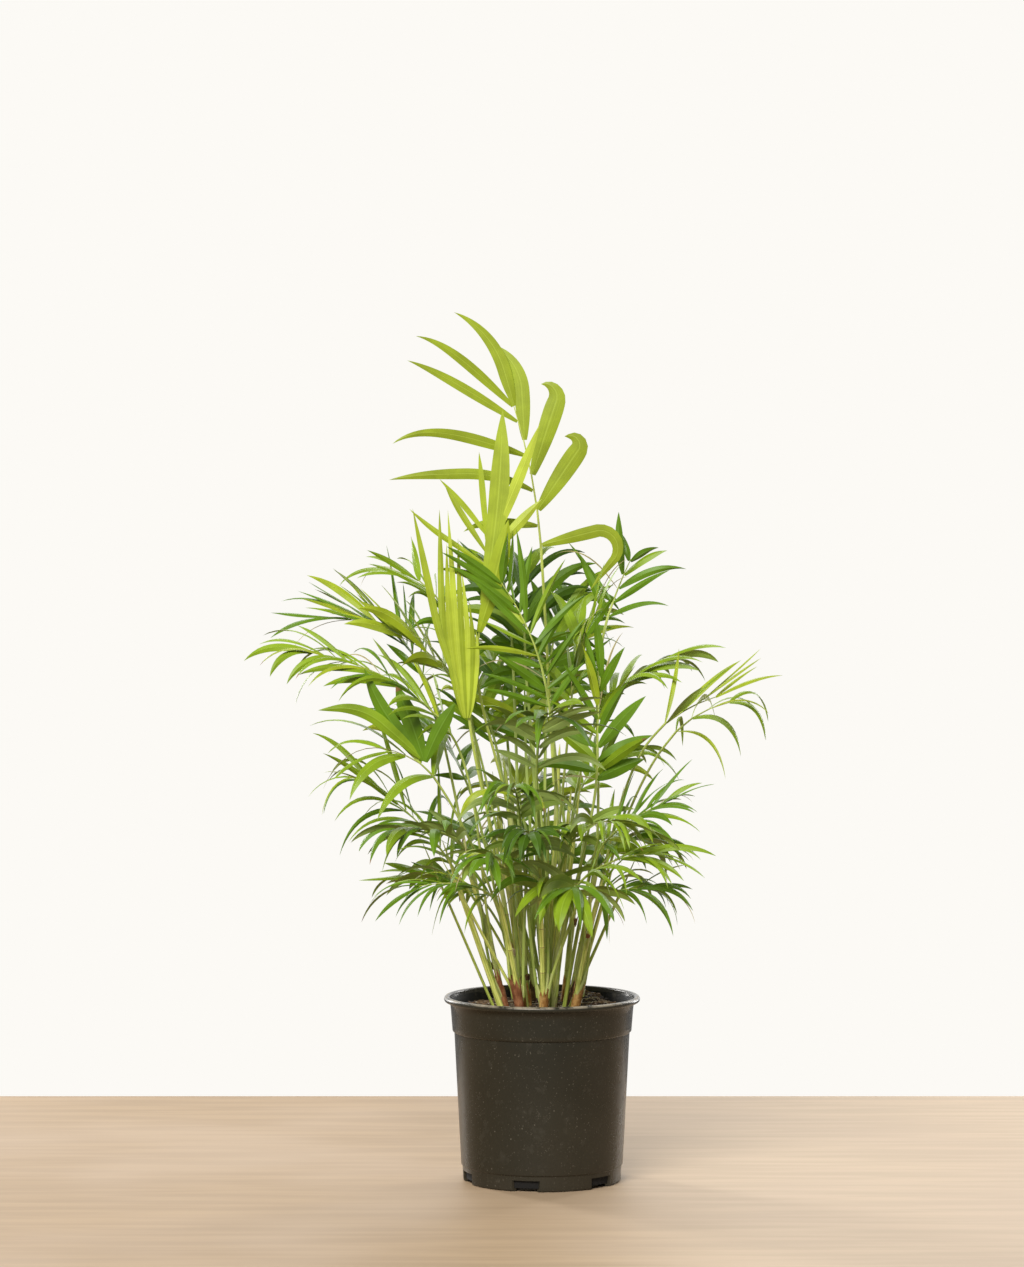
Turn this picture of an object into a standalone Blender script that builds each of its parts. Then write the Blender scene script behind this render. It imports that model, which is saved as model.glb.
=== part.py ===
"""A parlour palm in a black nursery pot: pot, soil, a clump of cane stems and one solid for each frond.

Metres, +Z up. The origin is the middle of the pot's flat underside, and the front is at -Y.
Bearings are degrees round +Z, from +X: 0 is to the right, 90 to the back, 180 to the left, 270 to the front.
"""

import itertools
import math
import random
from typing import NamedTuple

import bmesh
import bpy
from mathutils import Matrix, Vector
from mathutils.bvhtree import BVHTree

MM = 0.001
TOUCH = 0.3 * MM            # gap kept between pieces that rest on each other
NEAR = 0.45 * MM            # how much a blade is swollen when it is tested against its neighbours
DOWN = Vector((0, 0, -1))

# Nursery pot
POT_HEIGHT = 160 * MM
RIM_RADIUS = 85 * MM        # outside of the rolled rim
RIM_ROLL = 2.6 * MM         # radius of the roll
ROLL_ANGLES = (-40, 10, 60, 110)
SHOULDER_RADIUS = 79 * MM   # outer wall just under the rim
SHOULDER_DROP = 12 * MM     # from the top of the pot down to there
STEP_HEIGHT = 129.5 * MM    # lower edge of the collar
STEP_RADIUS = 77.6 * MM     # collar at that edge
STEP_SLOPE = 0.8 * MM       # half the height over which it steps out
BODY_RADIUS = 76 * MM       # wall below the collar
FOOT_HEIGHT = 13 * MM       # top of the foot band
FOOT_RADIUS = 68.4 * MM
FOOT_EDGE = 1.5 * MM        # rounding at the very bottom
FOOT_SPREAD = 0.6 * MM      # by which the band is wider at its top
FOOT_STEP = 1.1 * MM
WALL = 1.8 * MM
FLOOR = 2.4 * MM
POT_SIDES = 48
NOTCHES = 6                 # drainage notches round the foot
FIRST_NOTCH = 258
NOTCH_WIDTH = 18 * MM
NOTCH_FLARE = 8 * MM        # slope on each side of a notch
NOTCH_HEIGHT = 9.5 * MM
NOTCH_DEPTH = 9 * MM
NOTCH_MOUTH = 4 * MM        # outer stretch of a notch, where it widens
PAST = 2 * MM               # how far a cutter runs out past what it cuts

# Potting mix
SOIL_HEIGHT = 148 * MM
SOIL_FLAT = 47 * MM         # radius of the level patch that the stems stand on
SOIL_DIP = 2 * MM           # how much lower it lies at the wall
SOIL_RINGS = (6 * MM, 16 * MM)  # distances from the wall of its lumpy rings
SOIL_LUMP = 4 * MM
SOIL_SIDES = 24

# Clump of stems
STEMS = 13
CLUMP_RADIUS = 38 * MM
STEM_LEAN = 13              # degrees from upright at the edge of the clump
STEM_FOOT = 3.1 * MM
STEM_TIP = 2.0 * MM
TALL_STEM = 235 * MM        # length in the middle of the clump
SHORT_STEM = 95 * MM        # length at its edge
STEM_VARY = 12 * MM
STEM_BOW = 0.08             # share of its length by which an outer stem bows outwards
STEM_WANDER = 14            # degrees by which stems stray sideways
STEM_STEPS = 5
STEM_SIDES = 6
FIRST_STEM = 30
GOLDEN = 137.508            # degrees from one stem, or one frond, to the next

# Fronds
PETIOLE_FOOT = 1.6 * MM
PETIOLE_END = 1.2 * MM
RIB_TIP = 0.8 * MM
RIB_UNDER = 0.6             # depth of the rib's flat underside below its middle, over its radius
RIB_OVER = 1.1              # and height of its upper edge
PETIOLE_STEPS = 7
FOOT_PULL = 0.9             # how stiffly a petiole leaves its stem
KNEE_PULL = 0.8             # and runs on into its rib
FOOT_SPLAY = 0.12           # how far it turns away from the stem at its foot
LOW_KNEE = 240 * MM         # fronds whose knee is this low leave their stem near the soil
HIGH_KNEE = 500 * MM        # and those with a knee up here leave it near its tip
LOWEST_FOOT = 14 * MM       # above the soil
FOOT_SHARES = (0.1, 0.92)   # lowest and highest place on a stem
NEXT_FOOT = 0.12            # how much lower each further frond leaves the same stem
OTHER_FEET = (0, -0.15, 0.15, -0.3, 0.3)        # how much lower or higher it then tries
UNDER_KNEE = 0.55           # a frond looks for a stem at this share of the way out to its knee
CROWDED = 9 * MM            # and counts a stem as this much further off for each frond that it has
SWINGS = (0, 35, -35, 70, -70, 110, -110, 150)  # ways round the stem that a petiole's foot tries
SWAYS = (0, 6, -6, 12, -12, 20, -20)            # and bows to the side, in mm
SEATINGS = 4                # rounds in which its foot is moved up to the stem
STALK = 4.5 * MM            # length of rib that a leaflet grows from
BLADE_STEPS = 12
BLADE_SECTIONS = ((4, 1.0), (8, 0.86))          # steps that have a section, and its share of the width
BLADE_THICK = 0.014         # thickness over length
RIDGE = 0.10                # height of the ridge over the width of the blade
EARLY_SAG = 0.2             # share of the droop that is even along the blade
KNEE_TAPER = 0.12           # share by which the leaflets at the knee are shorter
LENGTHS = (0.94, 1.04)      # how leaflets of one frond differ
WIDTHS = (0.9, 1.08)
DROOPS = (0.85, 1.15)
LIFTS = (0.0, 0.2)          # how far they stand up out of the frond's face
TWIST = 14
TRIES = 14                  # places that a leaflet tries
EARLY_TRIES = 8             # of which it is shorter in all but these
SHORTER = 0.72
SPREAD_TRIES = 6            # tries until it strays by the whole of the next four values
STRAY_ANGLE = 26
STRAY_DROOP = (-0.3, 0.5)
STRAY_LIFT = 0.35


class Frond(NamedTuple):
    """One frond in mm and degrees. Its knee is where the petiole ends and the leaflets begin."""

    name: str
    knee: tuple             # to the right, to the back, up
    bearing: float          # where the rib heads from the knee
    rise: float             # and how steeply
    arch: float             # how far it bends down to its tip
    rachis: float           # length of the rib from the knee
    pairs: int
    length: float           # of the longest leaflets
    width: float
    first_set: float        # angle between leaflet and rib, at the knee
    last_set: float         # and at the tip
    droop: float
    roll: float = 0         # how far the frond's face is turned round its rib
    lean: float = 0         # share by which the left leaflets stand wider than the right ones
    stiff: float = 1        # how much of the droop is left to the leaflet's end
    taper: float = 0.25     # share by which the last leaflets are shorter
    green: str = "grown"
    leaves: tuple = ()      # its leaflets one by one, where they all differ: left ones and right ones


class Leaf(NamedTuple):
    """One leaflet of a frond whose leaflets all differ, in mm and degrees."""

    angle: float            # to the rib
    length: float
    width: float
    droop: float
    fold: float = 0         # how far it is folded over to the left
    fold_from: float = 0    # shares of its length where that begins
    fold_to: float = 1      # and ends


NO_FOLD = (0, 0, 1)

# The tall frond stands clear of the rest, so its leaflets are named one by one, from the knee to the tip.
TOP_LEFT = (
    Leaf(78, 68, 9, 0.8), Leaf(56, 127, 10, 0.2, 28, 0, 0.5), Leaf(60, 124, 10, 0.9), Leaf(46, 108, 9, 0.25),
    Leaf(32, 106, 9, 0.7),
)
TOP_RIGHT = (
    Leaf(78, 118, 12, 0.3, -150, 0.4, 0.75), Leaf(41, 84, 18, 0.1, 120, 0.75, 0.95),
    Leaf(29, 92, 18, 0.1, 110, 0.75, 1), Leaf(11, 98, 14, 0.1, 66, 0.45, 1), Leaf(-1, 98, 12, 0.1, 48, 0.3, 1),
)

SHOWN = (
    Frond("top", (-1, 0, 548), 180, 86, 14, 127, 5, 105, 12, 60, 20, 0.6, roll=84, stiff=3, green="new",
          leaves=(TOP_LEFT, TOP_RIGHT)),
    Frond("spear_right", (-56, -22, 462), 0, 83, 2, 112, 4, 102, 15, 32, 15, 0.1, roll=-86, lean=0.15,
          green="new"),
    Frond("spear_left", (-64, -40, 428), 180, 91, 8, 62, 4, 114, 10, 26, 4, 0.06, roll=86, lean=0.5,
          green="new"),
    Frond("comb", (4, -28, 425), 180, 80, 26, 104, 6, 74, 8, 58, 24, 0.35, roll=70, lean=0.05),
    Frond("left_high", (-112, 26, 454), 174, 60, 62, 68, 5, 76, 9, 46, 16, 0.5, roll=26),
    Frond("left_back", (-82, 34, 486), 160, 70, 60, 66, 4, 64, 7, 54, 20, 1.0, roll=10),
    Frond("left_arch", (-88, -30, 402), 186, 46, 38, 128, 7, 74, 9, 54, 16, 0.95, roll=24),
    Frond("left_broad", (-92, -48, 352), 190, 54, 50, 50, 4, 88, 13, 48, 14, 0.5, roll=30),
    Frond("left_low", (-82, -8, 280), 180, 56, 24, 92, 6, 68, 7, 58, 26, 1.5, roll=30),
    Frond("left_lowest", (-50, -50, 256), 195, 22, 34, 58, 4, 50, 7, 50, 18, 0.9, roll=24),
    Frond("right_high", (57, 26, 486), 10, 72, 8, 56, 5, 76, 8, 56, 36, 0.5, roll=-60, taper=0.55),
    Frond("right_inner", (26, -12, 428), 330, 84, 30, 66, 4, 70, 11, 50, 16, 0.5, roll=-40),
    Frond("right_middle", (47, -42, 364), 350, 90, 4, 76, 4, 60, 12, 52, 8, 0.35, roll=-80, lean=0.2),
    Frond("right_reach", (104, -26, 396), 354, 40, 24, 54, 4, 66, 8, 28, 8, 0.3, roll=-26),
    Frond("right_hanging", (116, 30, 386), 6, 46, 36, 58, 4, 76, 8, 50, 22, 2.6, roll=-20),
    Frond("right_mid", (60, -46, 304), 355, 40, 18, 54, 5, 54, 8, 50, 16, 0.55, roll=-28),
    Frond("right_low", (40, -62, 272), 344, 34, 34, 62, 5, 52, 7, 52, 18, 0.8, roll=-30),
    Frond("right_lowest", (52, -36, 252), 352, 16, 22, 46, 4, 52, 7, 54, 18, 2.0, roll=-26),
    Frond("front_low", (30, -60, 256), 262, 34, 54, 36, 3, 62, 14, 60, 16, 0.7),
)

# Fronds that fill the crown on all sides, each further round and higher than the one before
FILL = 26
FILL_LOW = 1.3              # 1 spreads their heights evenly, and more sets more of them low
FILL_FRONT = 0.55           # share of the height up to which they may stand at the front
FILL_CENTRE = -14           # in mm, to the right of the pot's middle
FILL_REACH = (48, 18)       # at the lowest and the highest knee, and how much more there is half way up
FILL_LOWEST = (252, 28, 42, 52, 60, 1.3)    # knee height, rise, arch, rachis, leaflet length and droop
FILL_HIGHEST = (466, 72, 46, 78, 76, 0.5)
FILL_PAIRS = 4
FILL_WIDTH = 10
FILL_SETS = (54, 18)
FILL_FIRST = 36
FILL_VARY = (10, 18, 12, 6)             # how much reach, height, rise and leaflet length differ
SQUEEZE = 24                # degrees by which these fronds are turned away from left and right


def material(name, colour, roughness):
    made = bpy.data.materials.new(name)
    made.use_nodes = True
    shader = made.node_tree.nodes["Principled BSDF"]
    shader.inputs["Base Color"].default_value = (*colour, 1)
    shader.inputs["Roughness"].default_value = roughness
    shader.inputs["Metallic"].default_value = 0
    return made


def solid(name, points, faces, finish, smooth=0):
    """A mesh object from points and faces, its faces turned outwards."""
    mesh = bpy.data.meshes.new(name)
    mesh.from_pydata([tuple(p) for p in points], [], faces)
    work = bmesh.new()
    work.from_mesh(mesh)
    bmesh.ops.recalc_face_normals(work, faces=work.faces)
    bmesh.ops.triangulate(work, faces=[f for f in work.faces if len(f.verts) > 4])
    work.to_mesh(mesh)
    work.free()
    mesh.materials.append(finish)
    if smooth:
        mesh.shade_smooth()
        mesh.set_sharp_from_angle(angle=math.radians(smooth))
    made = bpy.data.objects.new(name, mesh)
    bpy.context.scene.collection.objects.link(made)
    return made


def turned(profile, sides):
    """Points and faces of a profile of (radius, height) turned round Z. It starts and ends on the axis."""
    points = [Vector((0, 0, profile[0][1])), Vector((0, 0, profile[-1][1]))]
    rings = []
    for radius, height in profile[1:-1]:
        rings.append(range(len(points), len(points) + sides))
        for k in range(sides):
            turn = math.tau * k / sides
            points.append(Vector((radius * math.cos(turn), radius * math.sin(turn), height)))
    faces = []
    for k in range(sides):
        after = (k + 1) % sides
        faces.append((0, rings[0][after], rings[0][k]))
        faces.append((1, rings[-1][k], rings[-1][after]))
        for low, high in zip(rings, rings[1:]):
            faces.append((low[k], low[after], high[after], high[k]))
    return points, faces


def pot_profile():
    """Outer wall from the axis up to the rolled rim, over it and down the inside to the floor."""
    roll_radius = RIM_RADIUS - RIM_ROLL
    roll_height = POT_HEIGHT - RIM_ROLL
    profile = [
        (0, 0),
        (FOOT_RADIUS - FOOT_EDGE, 0),
        (FOOT_RADIUS, FOOT_EDGE),
        (FOOT_RADIUS + FOOT_SPREAD, FOOT_HEIGHT),
        (FOOT_RADIUS + FOOT_SPREAD + FOOT_STEP, FOOT_HEIGHT + FOOT_STEP),
        (BODY_RADIUS, STEP_HEIGHT - STEP_SLOPE),
        (STEP_RADIUS, STEP_HEIGHT + STEP_SLOPE),
        (SHOULDER_RADIUS, POT_HEIGHT - SHOULDER_DROP),
        (roll_radius, roll_height - RIM_ROLL),
    ]
    for degrees in ROLL_ANGLES:
        turn = math.radians(degrees)
        profile.append((roll_radius + RIM_ROLL * math.cos(turn), roll_height + RIM_ROLL * math.sin(turn)))
    profile += [
        (roll_radius - RIM_ROLL, roll_height - RIM_ROLL / 2),
        (SHOULDER_RADIUS - WALL, POT_HEIGHT - SHOULDER_DROP),
        (inner_radius(SOIL_HEIGHT / 2), SOIL_HEIGHT / 2),
        (inner_radius(FLOOR), FLOOR),
        (0, FLOOR),
    ]
    return profile


def inner_radius(height):
    """Radius of the pot's inner wall, which tapers evenly from under the rim to the floor."""
    low = FOOT_RADIUS - WALL
    rise = POT_HEIGHT - SHOULDER_DROP - FLOOR
    return low + (SHOULDER_RADIUS - 2 * WALL - low) * (height - FLOOR) / rise


def make_pot():
    finish = material("black_pot_plastic", (0.030, 0.029, 0.025), 0.42)
    pot = solid("pot", *turned(pot_profile(), POT_SIDES), finish, smooth=35)
    for k in range(NOTCHES):
        inner = FOOT_RADIUS - NOTCH_DEPTH
        mouth = FOOT_RADIUS - NOTCH_MOUTH
        outer = FOOT_RADIUS + NOTCH_MOUTH
        half = NOTCH_WIDTH / 2
        wide = half + NOTCH_FLARE
        plan = [(inner, -half), (inner, half), (mouth, half), (outer, wide), (outer, -wide), (mouth, -half)]
        turn = Matrix.Rotation(math.radians(FIRST_NOTCH + 360 * k / NOTCHES), 3, "Z")
        low = [turn @ Vector((x, y, -PAST)) for x, y in plan]
        high = [turn @ Vector((x, y, NOTCH_HEIGHT if x > inner else FLOOR / 2)) for x, y in plan]
        n = len(plan)
        faces = [tuple(range(n)), tuple(range(n, 2 * n))]
        faces += [(i, (i + 1) % n, n + (i + 1) % n, n + i) for i in range(n)]
        cutter = solid(f"notch_cutter_{k}", low + high, faces, finish)
        cutter.hide_render = True
        cutter.display_type = "WIRE"
        cut = pot.modifiers.new(f"notch_{k}", "BOOLEAN")
        cut.operation = "DIFFERENCE"
        cut.object = cutter


def make_soil():
    """Potting mix that fills the pot, level under the stems and crumbly towards the wall."""
    finish = material("potting_mix", (0.055, 0.034, 0.020), 0.95)
    draw = random.Random(5)
    foot = FLOOR + TOUCH
    wall = SOIL_HEIGHT - SOIL_DIP
    profile = [
        (0, foot),
        (inner_radius(foot) - TOUCH, foot),
        (inner_radius(wall) - TOUCH, wall),
        (inner_radius(wall) - SOIL_RINGS[0], SOIL_HEIGHT),
        (inner_radius(wall) - SOIL_RINGS[1], SOIL_HEIGHT),
        (SOIL_FLAT, SOIL_HEIGHT),
        (0, SOIL_HEIGHT),
    ]
    points, faces = turned(profile, SOIL_SIDES)
    first_lump = 2 + 2 * SOIL_SIDES
    for k in range(first_lump, first_lump + 2 * SOIL_SIDES):
        points[k].z += draw.uniform(-0.3, 1) * SOIL_LUMP
    solid("soil", points, faces, finish)


placed = []                 # (owner, lowest corner, highest corner, tree of faces) of what stands already


def corners(points):
    return [Vector(map(f, zip(*points))) for f in (min, max)]


def remember(owner, points, faces):
    low, high = corners(points)
    placed.append((owner, low, high, BVHTree.FromPolygons(points, faces)))


def is_clear(points, faces, but=None):
    """Whether a shape touches nothing that stands already. Shapes whose owner is `but` aren't looked at."""
    low, high = corners(points)
    tree = None
    for owner, other_low, other_high, other in placed:
        apart = any(low[k] > other_high[k] or other_low[k] > high[k] for k in range(3))
        if owner == but or apart:
            continue
        tree = tree or BVHTree.FromPolygons(points, faces)
        if tree.overlap(other):
            return False
    return True


def unit(bearing, rise):
    """Unit vector at this bearing and this rise from level, in degrees."""
    flat = math.cos(math.radians(rise))
    turn = math.radians(bearing)
    return Vector((flat * math.cos(turn), flat * math.sin(turn), math.sin(math.radians(rise))))


def tube(path, radii, sides, turn=0.0):
    """Points and faces of a closed tube along a path, each ring square to it."""
    points = []
    for k, centre in enumerate(path):
        along = (path[min(k + 1, len(path) - 1)] - path[max(k - 1, 0)]).normalized()
        across = along.cross(Vector((0.3, -1, 0.1))).normalized()
        up = along.cross(across)
        for j in range(sides):
            angle = turn + math.tau * j / sides
            points.append(centre + radii[k] * (math.cos(angle) * across + math.sin(angle) * up))
    faces = [tuple(range(sides)), tuple(range(len(points) - sides, len(points)))]
    for k in range(len(path) - 1):
        for j in range(sides):
            a, b = k * sides + j, k * sides + (j + 1) % sides
            faces.append((a, b, b + sides, a + sides))
    return points, faces


def make_stems():
    """Canes that stand in the soil and fan out a little. Returns each one's name, middle line and faces."""
    finish = material("cane_green", (0.26, 0.34, 0.09), 0.5)
    draw = random.Random(11)
    lines = []
    for k in range(STEMS):
        share = math.sqrt((k + 0.35) / STEMS)
        bearing = FIRST_STEM + GOLDEN * k
        foot = CLUMP_RADIUS * share * unit(bearing, 0)
        foot.z = SOIL_HEIGHT + TOUCH
        length = TALL_STEM + (SHORT_STEM - TALL_STEM) * share + draw.uniform(-STEM_VARY, STEM_VARY)
        heading = unit(bearing + draw.uniform(-STEM_WANDER, STEM_WANDER), 90 - STEM_LEAN * share)
        bow = STEM_BOW * length * share * unit(bearing, 0)
        path = []
        radii = []
        for step in range(STEM_STEPS + 1):
            u = step / STEM_STEPS
            path.append(foot + heading * (length * u) + bow * u**2)
            radii.append(STEM_FOOT + (STEM_TIP - STEM_FOOT) * u)
        points, faces = tube(path, radii, STEM_SIDES)
        for j in range(STEM_SIDES):
            points[j].z = foot.z
        name = f"stem_{k + 1:02d}"
        solid(name, points, faces, finish, smooth=50)
        remember(name, points, faces)
        lines.append((name, path, placed[-1][3]))
    return lines


def hermite(start, start_pull, end, end_pull, u):
    return (
        start * (2 * u**3 - 3 * u**2 + 1)
        + start_pull * (u**3 - 2 * u**2 + u)
        + end * (3 * u**2 - 2 * u**3)
        + end_pull * (u**3 - u**2)
    )


def along_stem(path, height):
    """Point of a stem's middle line at a height, and its direction there."""
    for low, high in zip(path, path[1:]):
        if high.z >= height or high is path[-1]:
            share = min(1.0, max(0.0, (height - low.z) / (high.z - low.z)))
            return low.lerp(high, share), (high - low).normalized()


def way_up(frond, knee, stem, share):
    """A frond's rib from a stem's side, at this share of the stem's height, or None if nothing is clear."""
    name, path, tree = stem
    height = SOIL_HEIGHT + max(LOWEST_FOOT, min(FOOT_SHARES[1], share) * (path[-1].z - SOIL_HEIGHT))
    middle, heading = along_stem(path, height)
    out = knee - middle
    out = (out - out.dot(heading) * heading).normalized()
    for swing in SWINGS:
        away = Matrix.Rotation(math.radians(swing), 3, heading) @ out
        pull = (heading + away * FOOT_SPLAY).normalized()
        for sway in SWAYS:
            bow = sway * MM * heading.cross(away)
            reach = STEM_FOOT + PETIOLE_FOOT + TOUCH
            for _ in range(SEATINGS):
                rings = rib_frames(frond, middle + away * reach, pull, bow)
                points, faces = rib_solid(rings)
                foot = points[:3] + [points[j].lerp(points[(j + 1) % 3], 0.5) for j in range(3)]
                reach -= min(tree.find_nearest(point)[3] for point in foot) - TOUCH
            thick = [(*ring[:4], ring[4] + NEAR, ring[5]) for ring in rings]
            swollen, swollen_faces = rib_solid(thick)
            beside = is_clear(swollen, list(swollen_faces.values()), but=name)
            if beside and is_clear(points, list(faces.values())):
                return rings, points, faces
    return None


def rib_frames(frond, foot, pull, bow):
    """Rings of a frond's rib: (centre, along, side, normal, radius, number of the leaflet pair there)."""
    knee = Vector(frond.knee) * MM
    rachis = frond.rachis * MM
    start = unit(frond.bearing, frond.rise)
    span = (knee - foot).length
    path = []
    for k in range(PETIOLE_STEPS):
        u = k / PETIOLE_STEPS
        sway = bow * math.sin(math.pi * u)
        path.append((hermite(foot, pull * span * FOOT_PULL, knee, start * span * KNEE_PULL, u) + sway, None))
    point = knee.copy()
    gap = (rachis - STALK * frond.pairs) / (frond.pairs - 1)
    done = 0.0
    for pair in range(frond.pairs):
        for mark, run in ((pair, STALK), (None, gap)):
            path.append((point.copy(), mark))
            if pair == frond.pairs - 1 and mark is None:
                break
            done += run
            point = point + run * unit(frond.bearing, frond.rise - frond.arch * (done - run / 2) / rachis)
    level = unit(frond.bearing - 90, 0)
    rings = []
    for k, (centre, mark) in enumerate(path):
        along = (path[min(k + 1, len(path) - 1)][0] - path[max(k - 1, 0)][0]).normalized()
        side = (level - level.dot(along) * along).normalized()
        normal = side.cross(along)
        turn = math.radians(frond.roll) * min(1.0, k / PETIOLE_STEPS)
        side, normal = (
            math.cos(turn) * side + math.sin(turn) * normal,
            math.cos(turn) * normal - math.sin(turn) * side,
        )
        share = k / PETIOLE_STEPS
        radius = PETIOLE_FOOT + (PETIOLE_END - PETIOLE_FOOT) * share
        if k > PETIOLE_STEPS:
            share = (k - PETIOLE_STEPS) / (len(path) - 1 - PETIOLE_STEPS)
            radius = PETIOLE_END + (RIB_TIP - PETIOLE_END) * share
        rings.append((centre, along, side, normal, radius, mark))
    return rings


def rib_solid(rings):
    """Points of the three-sided rib, and its faces as {(ring, side): face}, so a leaflet can open one."""
    points = []
    for centre, _, side, normal, radius, _ in rings:
        points.append(centre - radius * side - RIB_UNDER * radius * normal)
        points.append(centre + radius * side - RIB_UNDER * radius * normal)
        points.append(centre + RIB_OVER * radius * normal)
    faces = {("foot", 0): (0, 1, 2), ("tip", 0): tuple(range(len(points) - 3, len(points)))}
    for k in range(len(rings) - 1):
        a = 3 * k
        faces[k, 0] = (a, a + 1, a + 4, a + 3)
        faces[k, 1] = (a + 1, a + 4, a + 5, a + 2)
        faces[k, -1] = (a, a + 3, a + 5, a + 2)
    return points, faces


def blade(root, along, side, normal, hand, angle, length, width, droop, stiff, fold, lift, twist, grow=0.0):
    """Sections of a leaflet, each four points: lower edge, underside ridge, upper edge, top ridge."""
    turn = math.radians(angle)
    heading = (math.cos(turn) * along + hand * math.sin(turn) * side + lift * normal).normalized()
    face = (normal - normal.dot(heading) * heading).normalized()
    face = Matrix.Rotation(math.radians(twist) * hand, 3, heading) @ face
    point = root.copy()
    centres = [(point, heading, face)]
    bend, bend_from, bend_to = fold
    for k in range(BLADE_STEPS):
        late = (stiff + 1) * ((k + 0.5) / BLADE_STEPS) ** stiff
        sag = (EARLY_SAG + (1 - EARLY_SAG) * late) * droop / BLADE_STEPS
        heading = (heading + DOWN * sag).normalized()
        if bend_from <= k / BLADE_STEPS < bend_to:
            turned_over = math.radians(bend) / (BLADE_STEPS * (bend_to - bend_from))
            heading = Matrix.Rotation(turned_over, 3, face) @ heading
        face = (face - face.dot(heading) * heading).normalized()
        point = point + heading * (length / BLADE_STEPS)
        centres.append((point, heading, face))
    thick = BLADE_THICK * length + 2 * grow
    sections = []
    for step, share in BLADE_SECTIONS:
        centre, heading, face = centres[step]
        across = heading.cross(face) * hand
        half = width * share / 2 + grow
        ridge = RIDGE * width * face
        sections.append((
            centre + across * half,
            centre + ridge - face * thick / 2,
            centre - across * half,
            centre + ridge + face * thick / 2,
        ))
    tip = centres[-1][0] + heading * grow * 2
    return sections, tip


def blade_faces(first, base, last):
    """Faces from four base corners over two sections at `first` to the tip at `last`."""
    faces = []
    below = base
    for start in (first, first + 4):
        above = [start, start + 1, start + 2, start + 3]
        for j in range(4):
            after = (j + 1) % 4
            faces.append((below[j], below[after], above[after]))
            faces.append((below[j], above[after], above[j]))
        below = above
    faces += [(below[j], below[(j + 1) % 4], last) for j in range(4)]
    return faces


def grow_leaflet(draw, frond, rings, points, ring, hand):
    """Adds one leaflet's points to a frond where there is room for it. Returns its faces, or None."""
    centre, along, side, normal, radius, pair = rings[ring]
    share = pair / (frond.pairs - 1)
    angle = (frond.first_set + (frond.last_set - frond.first_set) * share) * (1 - hand * frond.lean)
    length = frond.length * (1 - frond.taper * share**2 - KNEE_TAPER * (1 - share) ** 3)
    length *= draw.uniform(*LENGTHS)
    width = frond.width * draw.uniform(*WIDTHS)
    droop = frond.droop * draw.uniform(*DROOPS)
    fold = NO_FOLD
    if frond.leaves:
        angle, length, width, droop, *fold = frond.leaves[hand > 0][pair]
    root = centre.lerp(rings[ring + 1][0], 0.5) + hand * side * radius
    base = {1: (3 * ring + 1, 3 * ring + 4, 3 * ring + 5, 3 * ring + 2),
            -1: (3 * ring, 3 * ring + 3, 3 * ring + 5, 3 * ring + 2)}[hand]
    for attempt in range(TRIES):
        spread = min(1.0, attempt / SPREAD_TRIES)
        shape = (
            root, along, side, normal, hand,
            angle + draw.uniform(-STRAY_ANGLE, STRAY_ANGLE) * spread,
            length * MM * (1 if attempt < EARLY_TRIES else SHORTER),
            width * MM,
            droop + draw.uniform(*STRAY_DROOP) * spread,
            frond.stiff,
            fold,
            draw.uniform(*LIFTS) + draw.uniform(-STRAY_LIFT, STRAY_LIFT) * spread,
            draw.uniform(-TWIST, TWIST),
        )
        swollen, swollen_tip = blade(*shape, grow=NEAR)
        test = [points[k] for k in base]
        for section in swollen:
            test += section
        test.append(swollen_tip)
        faces = blade_faces(4, (0, 1, 2, 3), 12)
        outer = faces[8:]
        if is_clear(test, faces, but=frond.name + "_rib") and is_clear(test, outer):
            break
    else:
        return None
    sections, tip = blade(*shape)
    start = len(points)
    for section in sections:
        points.extend(section)
    points.append(tip)
    remember(frond.name + "_leaf", points[start:], blade_faces(0, (0, 1, 2, 3), 8)[8:])
    remember(frond.name + "_leaf", test, faces)
    return blade_faces(start, base, start + 8)


def filled_crown():
    """Fronds of the same kind that fill the crown, up a spiral pressed towards the front and the back."""
    draw = random.Random(23)
    fronds = []
    for k in range(FILL):
        share = (k / (FILL - 1)) ** FILL_LOW
        reach = FILL_REACH[0] + FILL_REACH[1] * math.sin(math.pi * share)
        height, rise, arch, rachis, length, droop = (
            low + (high - low) * share for low, high in zip(FILL_LOWEST, FILL_HIGHEST))
        reach, height, rise, length = (
            value + draw.uniform(-vary, vary)
            for value, vary in zip((reach, height, rise, length), FILL_VARY))
        bearing = FILL_FIRST + GOLDEN * k
        bearing += SQUEEZE * math.sin(math.radians(2 * bearing))
        if share > FILL_FRONT and math.sin(math.radians(bearing)) < 0:
            bearing = -bearing
        out = reach * unit(bearing, 0)
        knee = (FILL_CENTRE + out.x, out.y, height)
        fronds.append(Frond(f"fill_{k + 1:02d}", knee, bearing, rise, arch, rachis, FILL_PAIRS, length,
                            FILL_WIDTH, *FILL_SETS, droop, green="old"))
    return fronds


def make_ribs(fronds, stems):
    """Finds each frond a stem and a clear way up from it. Returns (frond, rings, points, faces) for each."""
    used = [0] * len(stems)
    ribs = []
    for frond in fronds:
        knee = Vector(frond.knee) * MM
        order = sorted(range(len(stems)), key=lambda k: (
            (stems[k][1][-1].xy - knee.xy * UNDER_KNEE).length + CROWDED * used[k], k))
        share = max(FOOT_SHARES[0], (knee.z - LOW_KNEE) / (HIGH_KNEE - LOW_KNEE))
        rib = None
        for k, other in itertools.product(order, OTHER_FEET):
            rib = way_up(frond, knee, stems[k], share - NEXT_FOOT * used[k] + other)
            if rib:
                break
        used[k] += 1
        rings, points, faces = rib
        remember(frond.name + "_rib", points, list(faces.values()))
        ribs.append((frond, rings, points, faces))
    return ribs


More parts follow.
